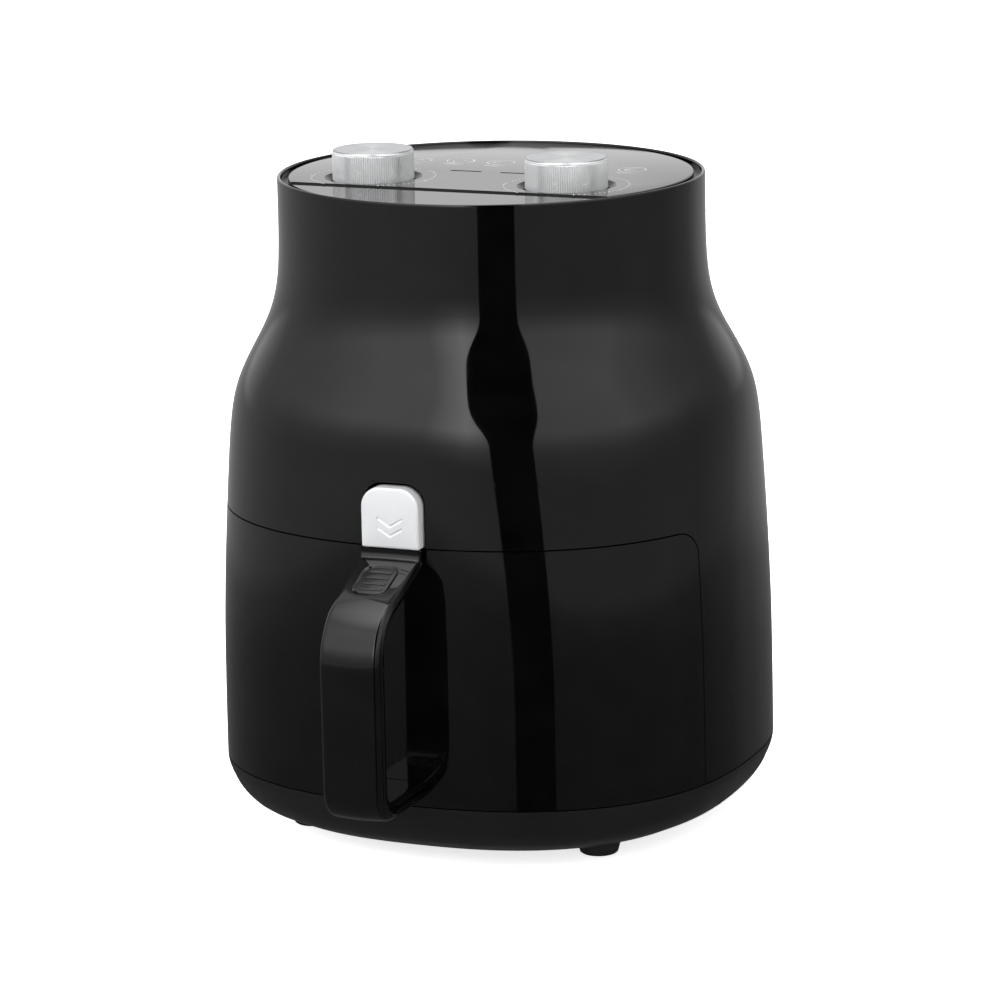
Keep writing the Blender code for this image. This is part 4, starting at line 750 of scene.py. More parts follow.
class FRYER_OT_base(bpy.types.Operator):
    """Base cover with its side vents, and the four rubber feet"""
    bl_idname = "fryer.base"
    bl_label = "Base and feet"

    def execute(self, context):
        steps, rows = 200, heights(0.0, BASE_HEIGHT, 0.0016)
        turn = 2 * math.pi / steps
        profile = [(0.0, 0.09), (0.0, 0.03), (0.0, 0.004)] + [(z, 0.0) for z in rows]
        profile += [(max(z, WALL), WALL) for z in reversed(rows) if z > WALL]
        profile += [(WALL, 0.03), (WALL, 0.09)]
        layers = [[ring_point(z, inset, k * turn) for k in range(steps)] for z, inset in profile]
        base = make("base_tray", *layered(layers), "polypropylene_fine_texture")
        cutters = []
        for side in (-1, 1):
            for n in range(VENT_COUNT):
                y = VENT_FIRST_Y + n * VENT_PITCH
                reach = half_width(0) * (1 - (abs(y) / (half_width(0) * DEPTH_SHARE)) ** SQUARENESS_LOW) \
                    ** (1 / SQUARENESS_LOW)
                outline = rounded_box(VENT_WIDTH / 2, VENT_TOP, [VENT_WIDTH * 0.45] * 4, steps=4)
                inner, outer = side * (reach - VENT_REACH), side * (reach + VENT_OVERRUN)
                ends = (inner, outer) if side > 0 else (outer, inner)
                body = [[(x, y + u, v) for u, v in outline] for x in ends]
                slot = make("slot", *layered(body), "polypropylene_fine_texture")
                cutters.append(slot)
        base = carve(base, *cutters)
        settle(base, "housing", "satin_black", "base_cover")

        for name in ("front_left", "front_right", "rear_left", "rear_right"):
            low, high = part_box("foot_" + name)
            x, y = (low.x + high.x) / 2, (low.y + high.y) / 2 - AXIS_Y
            radius = (high.x - low.x) / 2
            bottom, top = low.z - FOOT_HEIGHT, high.z - FOOT_HEIGHT
            tip = radius - 0.0025
            shape = [(tip * 0.45, bottom + 0.0006), (tip * 0.5, bottom), (tip - 0.0008, bottom),
                     (tip, bottom + 0.0006), (radius - 0.0012, top - 0.0035), (radius - 0.0004, top - 0.003),
                     (radius, top - 0.0024), (radius, top)]
            foot = make("foot_pad_" + name, *layered(lathe(shape, 64, (x, y))), "rubber_nitrile_matt")
            settle(foot, "housing", "rubber", "foot_" + name)
        return {"FINISHED"}


# ---- handle and release button ----

def arc_path(corners, arc_steps, straight_steps):
    """Points along (y, z, bend) corners: each bend an even arc, each straight in even steps."""
    path, start = [], Vector(corners[0][:2])
    for k in range(1, len(corners) - 1):
        before, here, after = (Vector(c[:2]) for c in corners[k - 1:k + 2])
        back, on = (before - here).normalized(), (after - here).normalized()
        half = back.angle(on) / 2
        radius = corners[k][2]
        first, last = here + back * radius / math.tan(half), here + on * radius / math.tan(half)
        centre = here + (back + on).normalized() * radius / math.sin(half)
        steps = straight_steps[k - 1]
        path.extend(start.lerp(first, n / steps) for n in range(steps))
        low = math.atan2(first.y - centre.y, first.x - centre.x)
        turn = math.remainder(math.atan2(last.y - centre.y, last.x - centre.x) - low, 2 * math.pi)
        for n in range(arc_steps):
            a = low + turn * n / arc_steps
            path.append(centre + radius * Vector((math.cos(a), math.sin(a))))
        start = last
    end = Vector(corners[-1][:2])
    steps = straight_steps[-1]
    return path + [start.lerp(end, n / steps) for n in range(steps + 1)]


ARM_STEPS = 68
ARC_STEPS = 18
STRAIGHTS = (4, ARM_STEPS, 22, 10)


def handle_path(share):
    """The handle's line at a share of its thickness, 0 its outer face and 1 its inner one."""
    slope, cosine = math.tan(HANDLE_SLOPE), math.cos(HANDLE_SLOPE)
    start_z = STRIP_TOP - HANDLE_STRIP
    drop = share * ARM_THICKNESS / cosine
    grip_y = -HANDLE_REACH + share * GRIP_THICKNESS
    leg_z = LEG_UNDERSIDE + share * LEG_THICKNESS
    leg_end = skin_front(LEG_UNDERSIDE) - GAP - LEG_ROOM
    top_y = BUTTON_FACE + share * (HANDLE_BACK - BUTTON_FACE)
    top_z = start_z + (top_y - BUTTON_FACE) * slope - drop
    bend_z = start_z + (grip_y - BUTTON_FACE) * slope - drop
    corners = [(top_y, STRIP_TOP, 0), (top_y, top_z, STRIP_BEND * (1 - 0.8 * share)),
               (grip_y, bend_z, GRIP_BEND - share * 1.5 * GRIP_THICKNESS),
               (grip_y, leg_z, LEG_BEND - share * 0.6 * GRIP_THICKNESS), (leg_end, leg_z, 0)]
    return arc_path(corners, ARC_STEPS, STRAIGHTS)


def loft(outer, inner, section):
    """Layers along the handle: section gives (x, depth) for a station and its thickness."""
    layers = []
    for n, (face, back) in enumerate(zip(outer, inner)):
        through = back - face
        depth = through.length
        layer = []
        for x, d in section(n, depth):
            p = face + through * (d / depth)
            layer.append((x, p.x, p.y))
        layers.append(layer)
    return layers


def rounded_distance(u, v, half_u, half_v, radius):
    """Signed distance from a rounded rectangle's edge, negative inside."""
    du, dv = abs(u) - half_u + radius, abs(v) - half_v + radius
    return math.hypot(max(du, 0), max(dv, 0)) + min(max(du, dv), 0) - radius


class FRYER_OT_handle(bpy.types.Operator):
    """Crowned outer shell with its edge bead and thumb rest, the inner shell and the ribbed pad"""
    bl_idname = "fryer.handle"
    bl_label = "Handle"

    def execute(self, context):
        sizes = context.scene.fryer_handle
        half = BUTTON_WIDTH / 2
        outer, parting = handle_path(0), handle_path(HANDLE_PARTING)
        arm_first = STRAIGHTS[0] + ARC_STEPS
        arm_start = outer[arm_first]
        arm_last = arm_first + ARM_STEPS
        across = 84

        def swell(n):
            """How much of the crown and rounding a station has, growing down the arm."""
            return 0.25 + 0.75 * smooth_step((n - STRAIGHTS[0]) / (arm_last - STRAIGHTS[0]))

        def outer_section(n, depth):
            """Crowned face with the thumb rest's recess, rounded shoulders and edge beads."""
            grow = swell(n)
            radius = min(sizes.shoulder * grow, depth * 0.62)
            crown = sizes.crown * grow * depth / (GRIP_THICKNESS * HANDLE_PARTING)
            along = (outer[n] - arm_start).length - PAD_START - PAD_LENGTH / 2
            face, flat = [], half - radius
            for k in range(across + 1):
                x = -flat + 2 * flat * k / across
                d = crown * (x / half) ** 2
                if arm_first <= n <= arm_last:
                    edge = rounded_distance(along, x, PAD_LENGTH / 2, PAD_WIDTH / 2, PAD_CORNER)
                    d += sizes.pad_depth * smooth_step(-edge / PAD_RIM)
                face.append((x, d))
            rest = crown * (flat / half) ** 2
            room = depth - sizes.bead_width
            corner = []
            for k in range(1, 9):
                a = math.pi / 2 * k / 8
                d = min(rest + radius * (1 - math.cos(a)), room - 1e-5 * (9 - k))
                corner.append((flat + radius * math.sin(a), d))
            bead = [(half + sizes.bead * math.sin(math.pi * k / 8), room + sizes.bead_width * k / 8)
                    for k in range(9)]
            side = corner + bead
            return face + side + [(-x, d) for x, d in reversed(side)]

        layers = loft(outer, parting, outer_section)
        shell = make("handle_grip", *layered(layers), "abs_high_gloss_black", sharp=50)
        settle(bevel(shell, 0.00025, angle=60), "drawer", "gloss_black", "handle_outer_shell")

        near, far = handle_path(HANDLE_PARTING + GAP / LEG_THICKNESS), handle_path(1)
        narrow = half - sizes.set_in

        def inner_section(n, depth):
            """Flat joint to the outer shell and a rounded inner side."""
            radius = min(0.003, depth * 0.7)
            flat = narrow - radius
            side = [(narrow, 0.0)]
            for k in range(9):
                a = math.pi / 2 * k / 8
                side.append((flat + radius * math.cos(a), depth - radius + radius * math.sin(a)))
            middle = [(flat * (1 - 2 * k / 12), depth) for k in range(1, 12)]
            return side + middle + [(-x, d) for x, d in reversed(side)]

        back = make("handle_liner", *layered(loft(near, far, inner_section)), "abs_high_gloss_black",
                    sharp=50)
        settle(back, "drawer", "gloss_black", "handle_inner_shell")

        down = Vector((-math.cos(HANDLE_SLOPE), -math.sin(HANDLE_SLOPE)))
        up = Vector((-math.sin(HANDLE_SLOPE), math.cos(HANDLE_SLOPE)))

        def lay(outline, middle, low, high, edge):
            """A soft-edged plate laid on the arm's slope."""
            levels = [(0.0, low), (0.0, high - edge), (edge * 0.4, high - edge * 0.3), (edge, high)]
            stack = []
            for inset, level in levels:
                ring = []
                for v, u in outline(inset):
                    p = arm_start + down * (middle + u) + up * level
                    ring.append((v, p.x, p.y))
                stack.append(ring)
            return layered(stack)

        centre = PAD_START + PAD_LENGTH / 2
        floor = -sizes.pad_depth + 0.00012
        parts = [lay(lambda i: rounded_box(PAD_WIDTH / 2 - PAD_RIM, PAD_LENGTH / 2 - PAD_RIM,
                                           [PAD_CORNER - PAD_RIM] * 4, i),
                     centre, floor - 0.0007, floor + 0.0002, 0.0002)]
        for k in range(PAD_RIBS):
            parts.append(lay(lambda i: rounded_box(0.0062, 0.0012, [0.0011] * 4, i, 4),
                             centre + (k - (PAD_RIBS - 1) / 2) * PAD_RIB_PITCH,
                             floor, floor + 0.0006, 0.0003))
        points, faces = [], []
        for p, f in parts:
            faces.extend(tuple(len(points) + v for v in face) for face in f)
            points.extend(p)
        pad = make("thumb_rest", points, faces, "polypropylene_fine_texture")
        settle(pad, "drawer", "satin_black", "thumb_pad")
        return {"FINISHED"}


class FRYER_OT_button(bpy.types.Operator):
    """Satin silver release button with two engraved arrows, and its return spring"""
    bl_idname = "fryer.button"
    bl_label = "Release button"

    def execute(self, context):
        sizes = context.scene.fryer_button
        half_height = (BUTTON_TOP - sizes.set_in - SEAM_Z) / 2
        middle = SEAM_Z + half_height
        radii = (BUTTON_CORNER, BUTTON_CORNER, BUTTON_FOOT_CORNER, BUTTON_FOOT_CORNER)

        def ring(inset, y):
            """The cap's outline at a depth."""
            return [(u, y, middle + v)
                    for u, v in rounded_box(BUTTON_WIDTH / 2 - sizes.set_in, half_height, radii, inset, 14)]

        layers = [ring(inset, BUTTON_FACE + depth) for inset, depth in edge_profile(sizes.edge, 5)]
        layers.append(ring(0, BUTTON_FACE + BUTTON_DEPTH))
        button = make("button_cap", *layered(layers), "satin_chrome_plating", sharp=30)
        cutters = []
        for apex in ARROW_FEET:
            low, arm = SEAM_Z + apex, sizes.arrow_height
            thick = sizes.arrow_line
            line = [(-sizes.arrow_half, low + arm), (0, low), (sizes.arrow_half, low + arm),
                    (sizes.arrow_half, low + arm - thick), (0, low - thick),
                    (-sizes.arrow_half, low + arm - thick)]
            ends = (BUTTON_FACE - 0.002, BUTTON_FACE + sizes.arrow_depth)
            ramp = [[(x, ends[0], z) for x, z in line],
                    [(x, ends[1] if n < 3 else BUTTON_FACE + 0.0001, z) for n, (x, z) in enumerate(line)]]
            cutters.append(make("arrow", *layered(ramp), "satin_chrome_plating"))
        button = carve(button, *cutters)
        settle(button, "release", "silver_plating", "release_button")

        low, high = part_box("button_spring")
        wire, steps = sizes.spring_wire / 2, 40
        reach, length = (high.x - low.x) / 2 - wire, high.y - low.y
        middle = (low.z + high.z) / 2 - FOOT_HEIGHT
        rings = []
        for k in range(sizes.spring_turns * steps + 1):
            a = 2 * math.pi * k / steps
            y = low.y - AXIS_Y + wire + (length - 2 * wire) * k / (sizes.spring_turns * steps)
            ring = []
            for n in range(10):
                b = math.pi * n / 5
                r = reach + wire * math.cos(b)
                ring.append((r * math.cos(a), y + wire * math.sin(b), middle + r * math.sin(a)))
            rings.append(ring)
        spring = make("button_coil", *layered(rings), "steel_bright_drawn")
        settle(spring, "drawer", "steel", "button_spring")
        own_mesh(spring)
        return {"FINISHED"}


# ---- control panel and knobs ----

class FRYER_OT_panel(bpy.types.Operator):
    """Lacquered panel with its knob pockets and front step, the two lenses and the print"""
    bl_idname = "fryer.panel"
    bl_label = "Control panel"

    def execute(self, context):
        sizes = context.scene.fryer_panel
        steps = 240
        inset = NECK_WIDTH / 2 - PANEL_HALF

        def ring(extra, z):
            """The panel's outline at a height."""
            turn = 2 * math.pi / steps
            return [ring_point(BODY_HEIGHT, inset + extra, k * turn)[:2] + (z,) for k in range(steps)]

        layers = [ring(0.0003, PANEL_BOTTOM), ring(0, PANEL_BOTTOM + 0.0003)]
        layers += [ring(i, PANEL_TOP - d) for i, d in reversed(edge_profile(sizes.edge, 5))]
        panel = make("panel_plate", *layered(layers), "polycarbonate_lacquered", sharp=30)
        above = PANEL_TOP + 0.001
        cutters = []
        for x in (-KNOB_X, KNOB_X):
            narrow = POCKET_RADIUS - POCKET_FLARE
            shape = [(narrow, PANEL_BOTTOM - 0.001), (narrow, PANEL_BOTTOM + 0.0004),
                     (POCKET_RADIUS, PANEL_TOP), (POCKET_RADIUS + 0.0005, above)]
            cutters.append(make("pocket", *layered(lathe(shape, 128, (x, KNOB_Y))),
                                "polycarbonate_lacquered"))
        reach, front = 0.2, PANEL_STEP_Y
        outline = [(-reach, -reach), (reach, -reach), (reach, front), (-reach, front)]
        step = [[(x, y, z) for x, y in outline] for z in (PANEL_TOP - sizes.step, above)]
        cutters.append(make("step", *layered(step), "polycarbonate_lacquered"))
        for x in (-LENS_X, LENS_X):
            slot = rounded_box(LENS_LENGTH / 2 + GAP, LENS_WIDTH / 2 + GAP, [0.0011] * 4, steps=6)
            hole = [[(x + u, v, z) for u, v in slot] for z in (PANEL_BOTTOM - 0.001, above)]
            cutters.append(make("lens_hole", *layered(hole), "polycarbonate_lacquered"))
        panel = carve(panel, *cutters)
        settle(bevel(panel, 0.00018, angle=50), "housing", "panel", "control_panel")

        for name, x in (("power", -LENS_X), ("heating", LENS_X)):
            def lens_ring(cut, z):
                """A lens's outline at a height."""
                flat = rounded_box(LENS_LENGTH / 2, LENS_WIDTH / 2, [LENS_CORNER] * 4, cut, 6)
                return [(x + u, v, z) for u, v in flat]

            layers = [lens_ring(0, PANEL_BOTTOM + 0.0003)]
            layers += [lens_ring(i, PANEL_TOP - 0.0002 - d) for i, d in reversed(edge_profile(0.0005))]
            lens = make(name + "_window", *layered(layers), "acrylic_smoked_red")
            settle(lens, "housing", "lens", name + "_lens")

        print_marks(sizes)
        return {"FINISHED"}


def stroke(path, width, closed=False):
    """A flat ribbon of ink along a path of (x, y)."""
    left, right, count = [], [], len(path)
    for k, (x, y) in enumerate(path):
        before = path[k - 1] if k or closed else path[k]
        after = path[(k + 1) % count] if closed or k < count - 1 else path[k]
        run = Vector((after[0] - before[0], after[1] - before[1])).normalized() * width / 2
        left.append((x - run.y, y + run.x, 0))
        right.append((x + run.y, y - run.x, 0))
    faces = [(k, (k + 1) % count, count + (k + 1) % count, count + k)
             for k in range(count if closed else count - 1)]
    return left + right, faces


def circle(x, y, radius, first=0, last=360, steps=40):
    """Points of a ring or an arc, its ends in degrees."""
    turns = [math.radians(first + (last - first) * k / steps) for k in range(steps + (last - first < 360))]
    return [(x + radius * math.cos(a), y + radius * math.sin(a)) for a in turns]


def print_marks(sizes):
    """Dotted scales round the knobs and a row of six programme rings with plain figures."""
    marks = []
    for x in (-KNOB_X, KNOB_X):
        for k in range(SCALE_MARKS + 1):
            a = math.radians(SCALE_START + SCALE_TURN * k / SCALE_MARKS)
            c, s = math.cos(a), math.sin(a)
            long = SCALE_LONG if k % 10 == 0 else sizes.dot
            ends = (sizes.scale_radius - long / 2, sizes.scale_radius + long)
            marks.append(stroke([(x + r * c, KNOB_Y + r * s) for r in ends], sizes.dot * 1.1))
    r = sizes.icon_radius
    for n, x in enumerate(ICON_X):
        y = ICON_Y - ICON_DROP * (n in (0, len(ICON_X) - 1))
        marks.append(stroke(circle(x, y, r), ICON_LINE, True))
        marks.append(stroke(circle(x - r * 0.1, y, r * 0.45, 20 * n, 20 * n + 250, 20), ICON_LINE))
        marks.append(stroke([(x - r * 0.5, y - r * 0.3), (x + r * 0.1, y + r * 0.1 * n),
                             (x + r * 0.55, y + r * 0.25)], ICON_LINE))
        for row, share in CAPTION_ROWS:
            for k in range(-3, 4):
                middle = x + k * r * share / 3.4
                dash = r * share / 9
                marks.append(stroke([(middle - dash, y - r * row), (middle + dash, y - r * row)],
                                    CAPTION_LINE))
    points, faces = [], []
    for p, f in marks:
        faces.extend(tuple(len(points) + v for v in face) for face in f)
        points.extend((x, y, PANEL_TOP + INK / 2) for x, y, _ in p)
    ink = make("panel_print", points, faces, "screen_print_ink")
    thick = ink.modifiers.new("ink", "SOLIDIFY")
    thick.thickness, thick.offset = INK, 1
    settle(ink, "housing", "panel")


class FRYER_OT_knobs(bpy.types.Operator):
    """Turned and knurled aluminium knobs of the timer and the thermostat"""
    bl_idname = "fryer.knobs"
    bl_label = "Knobs"

    def execute(self, context):
        sizes = context.scene.fryer_knobs
        chamfer, cut, r = sizes.chamfer, sizes.rib_depth, KNOB_RADIUS
        top = KNOB_TOP
        # From the foot up: (radius, height, depth of the knurling there).
        profile = [(r - 0.003, KNOB_BOTTOM, 0), (r - 0.0009, KNOB_BOTTOM, 0),
                   (r - 0.0005, KNOB_BOTTOM + 0.0005, 0), (r - 0.0005, KNOB_BOTTOM + 0.0012, 0),
                   (r, KNOB_BOTTOM + 0.0016, cut), (r, top - chamfer - 0.0008, cut),
                   (r - cut, top - chamfer - 0.0003, 0), (r - 0.0001, top - chamfer, 0),
                   (r - 0.0003, top - chamfer * 0.5, 0), (r - chamfer * 0.6, top - chamfer * 0.12, 0),
                   (r - chamfer, top, 0), (r - chamfer - 0.0009, top - 0.0001, 0),
                   (r * 0.6, top - 0.0002, 0), (r * 0.3, top - 0.0002, 0), (0.0006, top - 0.0002, 0)]
        for name, x, body in (("timer", -KNOB_X, "timer_dial"), ("temperature", KNOB_X, "temperature_dial")):
            steps = 2 * sizes.ribs
            layers = []
            for radius, z, depth in profile:
                layer = []
                for k in range(steps):
                    a, reach = 2 * math.pi * k / steps, radius - depth * (k % 2)
                    layer.append((x + reach * math.cos(a), KNOB_Y + reach * math.sin(a), z))
                layers.append(layer)
            knob = make(name + "_dial", *layered(layers), "aluminium_knurled", sharp=24)
            knob.data.materials.append(bpy.data.materials["aluminium_spun"])
            for face in knob.data.polygons:
                face.material_index = int(face.center.z > top + FOOT_HEIGHT - 0.0004)
            settle(knob, body, "spun_metal", name + "_knob")
        return {"FINISHED"}


# ---- studio ----

CAMERA_TURN = math.radians(22.834)
CAMERA_RISE = math.radians(12.728)
CAMERA_ROLL = math.radians(-1.148)
CAMERA_REACH = 2.322
CAMERA_LENS = 164.75
CAMERA_SHIFT = (0.0030, -0.0176)
TARGET = Vector((0, AXIS_Y, 0.1685))

# What the gloss mirrors, by the direction round from the camera's side in degrees: (direction, level).
WALLS = ((-180, 0.50), (-150, 0.46), (-96, 0.50), (-60, 0.56), (-30, 0.52), (-8, 0.42), (8, 0.40),
         (30, 0.41), (80, 0.40), (100, 0.30), (128, 0.30), (144, 0.46), (160, 0.44), (180, 0.50))
SOFTBOXES = ((-130, 0), (-95, 0.45), (-64, 1.0), (-36, 1.1), (-19, 3.0), (0, 0.8), (12, 0.75),
             (60, 0.95), (72, 0.7), (100, 0.3), (125, 0))
SWEEP = ((-180, 1), (-150, 0.6), (-130, 0.05), (-115, 0), (115, 0), (130, 0.05), (150, 0.6), (180, 1))
# How far each of them reaches up: (sine of the height, share).
WALLS_UP = ((-1, 0.45), (-0.05, 0.45), (0.6, 0.5), (0.8, 0.8), (0.93, 2.4), (1, 3.4))
SOFTBOXES_UP = ((-0.04, 0), (0.1, 0.2), (0.34, 1), (0.66, 1), (0.85, 0.6), (0.95, 0.5))
SWEEP_UP = ((-0.02, 0), (0.04, 1), (0.5, 0.8), (0.9, 0.2))
WALLS_LEVEL = 1 / 0.45
SWEEP_LEVEL = 0.72
# The dark card's edges: direction low down, direction high up, and the side that it lies on.
CARD_EDGES = ((-9.6, -21, "GREATER_THAN"), (9.6, 17, "LESS_THAN"))
CARD_BEND = (0.12, 0.78)
FLOOR_LEVEL = -0.0002
FLOOR_GLOW = 0.74
# How much of the floor's brightness the gloss sees: (distance from the shade's middle in m, share).
SHADE_AHEAD = 0.2
SHADE_REACH = 1.2
FLOOR_SHADES = ((0, 0.26), (0.12, 0.28), (0.31, 0.33), (0.5, 0.38), (0.62, 0.42), (0.83, 0.6),
                (0.95, 0.88), (1.0, 0.95), (1.1, 1))
# Area lamps: name, place, width in m and power in W.
LAMPS = (("key_softbox", (-1.3, -1.7, 1.3), 1.2, 38), ("fill_softbox", (1.6, -1.2, 1.0), 1.2, 16),
         ("top_softbox", (0, 0.3, 2.0), 1.5, 34))


def greys(stops, low, high):
    """A ramp's stops from (place, level) pairs whose places run from low to high."""
    return [((place - low) / (high - low), (level, level, level, 1)) for place, level in stops]


def studio_world():
    """Soft studio seen by the gloss: pale sides, a brighter sweep behind and a dark card in front."""
    world = bpy.data.worlds.new("studio")
    world.use_nodes = True
    tree = world.node_tree
    tree.nodes.clear()
    aim = add(tree, "ShaderNodeTexCoord").outputs["Generated"]
    turned = add(tree, "ShaderNodeVectorRotate", {"Vector": aim, "Angle": -CAMERA_TURN},
                 rotation_type="Z_AXIS").outputs["Vector"]
    parts = add(tree, "ShaderNodeSeparateXYZ", {"Vector": turned}).outputs
    ahead = add(tree, "ShaderNodeMath", {0: parts["Y"], 1: -1.0}, operation="MULTIPLY").outputs[0]
    angle = add(tree, "ShaderNodeMath", {0: parts["X"], 1: ahead}, operation="ARCTAN2").outputs[0]
    around = add(tree, "ShaderNodeMapRange", {"Value": angle, "From Min": -math.pi,
                                              "From Max": math.pi}).outputs["Result"]
    height = add(tree, "ShaderNodeMapRange", {"Value": parts["Z"], "From Min": -1.0,
                                              "From Max": 1.0}).outputs["Result"]
    sides, boxes, rear = (add(tree, "ShaderNodeValToRGB", {"Fac": around}, greys(stops, -180, 180))
                          .outputs["Color"] for stops in (WALLS, SOFTBOXES, SWEEP))
    rise, tall, lift = (add(tree, "ShaderNodeValToRGB", {"Fac": height}, greys(stops, -1, 1))
                        .outputs["Color"] for stops in (WALLS_UP, SOFTBOXES_UP, SWEEP_UP))
    glow = add(tree, "ShaderNodeMath", {0: rear, 1: lift}, operation="MULTIPLY").outputs[0]
    wall = add(tree, "ShaderNodeMath", {0: sides, 1: rise}, operation="MULTIPLY").outputs[0]
    wall = add(tree, "ShaderNodeMath", {0: wall, 1: WALLS_LEVEL}, operation="MULTIPLY").outputs[0]
    soft = add(tree, "ShaderNodeMath", {0: boxes, 1: tall, 2: wall}, operation="MULTIPLY_ADD").outputs[0]
    level = add(tree, "ShaderNodeMath", {0: glow, 1: SWEEP_LEVEL, 2: soft},
                operation="MULTIPLY_ADD").outputs[0]
    inside = []
    for low, high, side in CARD_EDGES:
        edge = add(tree, "ShaderNodeMapRange", {
            "Value": parts["Z"], "From Min": CARD_BEND[0], "From Max": CARD_BEND[1],
            "To Min": math.radians(low), "To Max": math.radians(high)}, interpolation_type="SMOOTHSTEP")
        inside.append(add(tree, "ShaderNodeMath", {0: angle, 1: edge.outputs["Result"]},
                          operation=side).outputs[0])
    card = add(tree, "ShaderNodeMath", {0: inside[0], 1: inside[1]}, operation="MULTIPLY").outputs[0]
    open_share = add(tree, "ShaderNodeMath", {0: 1.0, 1: card}, operation="SUBTRACT").outputs[0]
    level = add(tree, "ShaderNodeMath", {0: level, 1: open_share}, operation="MULTIPLY").outputs[0]
    mirrored = add(tree, "ShaderNodeBackground", {"Strength": level})
    plain = add(tree, "ShaderNodeBackground", {"Color": (1, 1, 1, 1), "Strength": 1.0})
    direct = add(tree, "ShaderNodeLightPath").outputs["Is Camera Ray"]
    mix = add(tree, "ShaderNodeMixShader", {0: direct, 1: mirrored.outputs[0], 2: plain.outputs[0]})
    add(tree, "ShaderNodeOutputWorld", {"Surface": mix.outputs[0]})
    bpy.context.scene.world = world


def floor_shade_filter():
    """A clear sheet that darkens the floor near the fryer, for the gloss only."""
    material = bpy.data.materials.new("floor_shade_filter")
    material.use_nodes = True
    tree = material.node_tree
    tree.nodes.clear()
    place = add(tree, "ShaderNodeTexCoord").outputs["Object"]
    middle = (SHADE_AHEAD * math.sin(CAMERA_TURN), -SHADE_AHEAD * math.cos(CAMERA_TURN), 0.0)
    reach = add(tree, "ShaderNodeVectorMath", {0: place, 1: middle}, operation="DISTANCE")
    share = add(tree, "ShaderNodeMapRange", {"Value": reach.outputs["Value"], "From Max": SHADE_REACH})
    level = add(tree, "ShaderNodeValToRGB", {"Fac": share.outputs["Result"]},
                greys(FLOOR_SHADES, 0, SHADE_REACH))
    clear = add(tree, "ShaderNodeBsdfTransparent", {"Color": level.outputs["Color"]})
    add(tree, "ShaderNodeOutputMaterial", {"Surface": clear.outputs[0]})
    return material


def disc(name, radius, height, material):
    """A round sheet on the floor."""
    mesh = bpy.data.meshes.new(name)
    steps = 96
    turns = [2 * math.pi * k / steps for k in range(steps)]
    mesh.from_pydata([(radius * math.cos(a), radius * math.sin(a), height) for a in turns], [],
                     [tuple(range(steps))])
    mesh.materials.append(material)
    piece = bpy.data.objects.new(name, mesh)
    bpy.context.scene.collection.objects.link(piece)
    return piece


def lamp(name, place, width, power):
    """A soft area lamp that lights the fryer without being mirrored in it."""
    light = bpy.data.lights.new(name, "AREA")
    light.size, light.energy = width, power
    piece = bpy.data.objects.new(name, light)
    bpy.context.scene.collection.objects.link(piece)
    aim = (TARGET - Vector(place)).to_track_quat("-Z", "Y")
    piece.matrix_world = Matrix.Translation(place) @ aim.to_matrix().to_4x4()
    piece.visible_camera = piece.visible_glossy = False


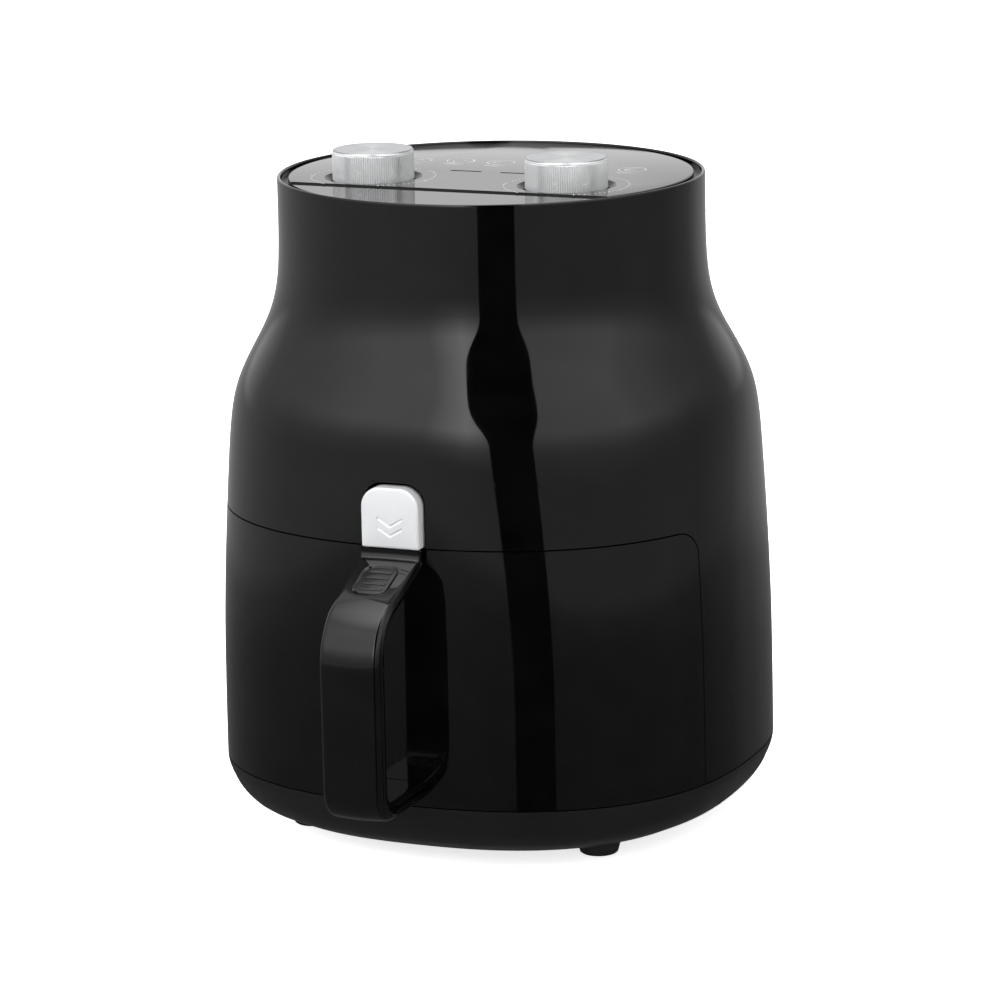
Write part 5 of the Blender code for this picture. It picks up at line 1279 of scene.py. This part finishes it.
class FRYER_OT_stage(bpy.types.Operator):
    """Pale floor, soft studio light and the camera"""
    bl_idname = "fryer.stage"
    bl_label = "Stage"

    def execute(self, context):
        scene = context.scene
        scene.view_settings.view_transform = "Standard"
        studio_world()
        # Matt background paper: even and pale, with the least mottle of its fibres.
        paper = finish("studio_paper_white", ("#F3F3F3", scene.fryer_colours.floor), 0.9, (6, 2),
                       Specular_IOR_Level=0.0, Emission_Color=(1, 1, 1, 1), Emission_Strength=FLOOR_GLOW)
        floor = disc("studio_floor", 14.0, FLOOR_LEVEL, paper[0])
        floor.visible_glossy = False
        dim = disc("floor_shade", 2.4, FLOOR_LEVEL / 2, floor_shade_filter())
        dim.visible_camera = dim.visible_diffuse = dim.visible_shadow = False
        dim.visible_transmission = dim.visible_volume_scatter = False
        for row in LAMPS:
            lamp(*row)

        back = Vector((math.sin(CAMERA_TURN) * math.cos(CAMERA_RISE),
                       -math.cos(CAMERA_TURN) * math.cos(CAMERA_RISE), math.sin(CAMERA_RISE)))
        right = Vector((math.cos(CAMERA_TURN), math.sin(CAMERA_TURN), 0))
        axes = Matrix((right, back.cross(right), back)).transposed().to_4x4()
        camera = bpy.data.objects.new("camera", bpy.data.cameras.new("camera"))
        scene.collection.objects.link(camera)
        camera.matrix_world = Matrix.Translation(TARGET + back * CAMERA_REACH) @ axes \
            @ Matrix.Rotation(CAMERA_ROLL, 4, "Z")
        camera.data.lens, camera.data.sensor_width = CAMERA_LENS, 36.0
        camera.data.shift_x, camera.data.shift_y = CAMERA_SHIFT
        scene.camera = camera
        return {"FINISHED"}


# ---- sidebar, registration and run ----

PIECES = (FRYER_OT_finishes, FRYER_OT_body, FRYER_OT_drawer, FRYER_OT_base, FRYER_OT_handle,
          FRYER_OT_button, FRYER_OT_panel, FRYER_OT_knobs, FRYER_OT_stage)
GROUPS = {"fryer_body": FryerBody, "fryer_handle": FryerHandle, "fryer_button": FryerButton,
          "fryer_knobs": FryerKnobs, "fryer_panel": FryerPanel, "fryer_colours": FryerColours}


class FRYER_PT_sidebar(bpy.types.Panel):
    """Lists the fryer's pieces and their sizes"""
    bl_idname = "FRYER_PT_sidebar"
    bl_label = "Hot-air fryer"
    bl_space_type = "VIEW_3D"
    bl_region_type = "UI"
    bl_category = "Fryer"

    def draw(self, context):
        for group in GROUPS:
            box = self.layout.box()
            for prop in getattr(context.scene, group).bl_rna.properties:
                if not prop.is_readonly and prop.identifier != "name":
                    box.prop(getattr(context.scene, group), prop.identifier)
        for piece in PIECES:
            self.layout.operator(piece.bl_idname)


def register():
    """Adds the size groups to the scene, then the operators and the panel."""
    for group, cls in GROUPS.items():
        bpy.utils.register_class(cls)
        setattr(bpy.types.Scene, group, bpy.props.PointerProperty(type=cls))
    for cls in (*PIECES, FRYER_PT_sidebar):
        bpy.utils.register_class(cls)


def unregister():
    """Takes away what register added."""
    for cls in reversed((*PIECES, FRYER_PT_sidebar)):
        bpy.utils.unregister_class(cls)
    for group, cls in reversed(GROUPS.items()):
        delattr(bpy.types.Scene, group)
        bpy.utils.unregister_class(cls)


def main():
    """Builds every piece and the stage."""
    register()
    for piece in PIECES:
        area, name = piece.bl_idname.split(".")
        getattr(getattr(bpy.ops, area), name)()


if __name__ == "__main__":
    main()
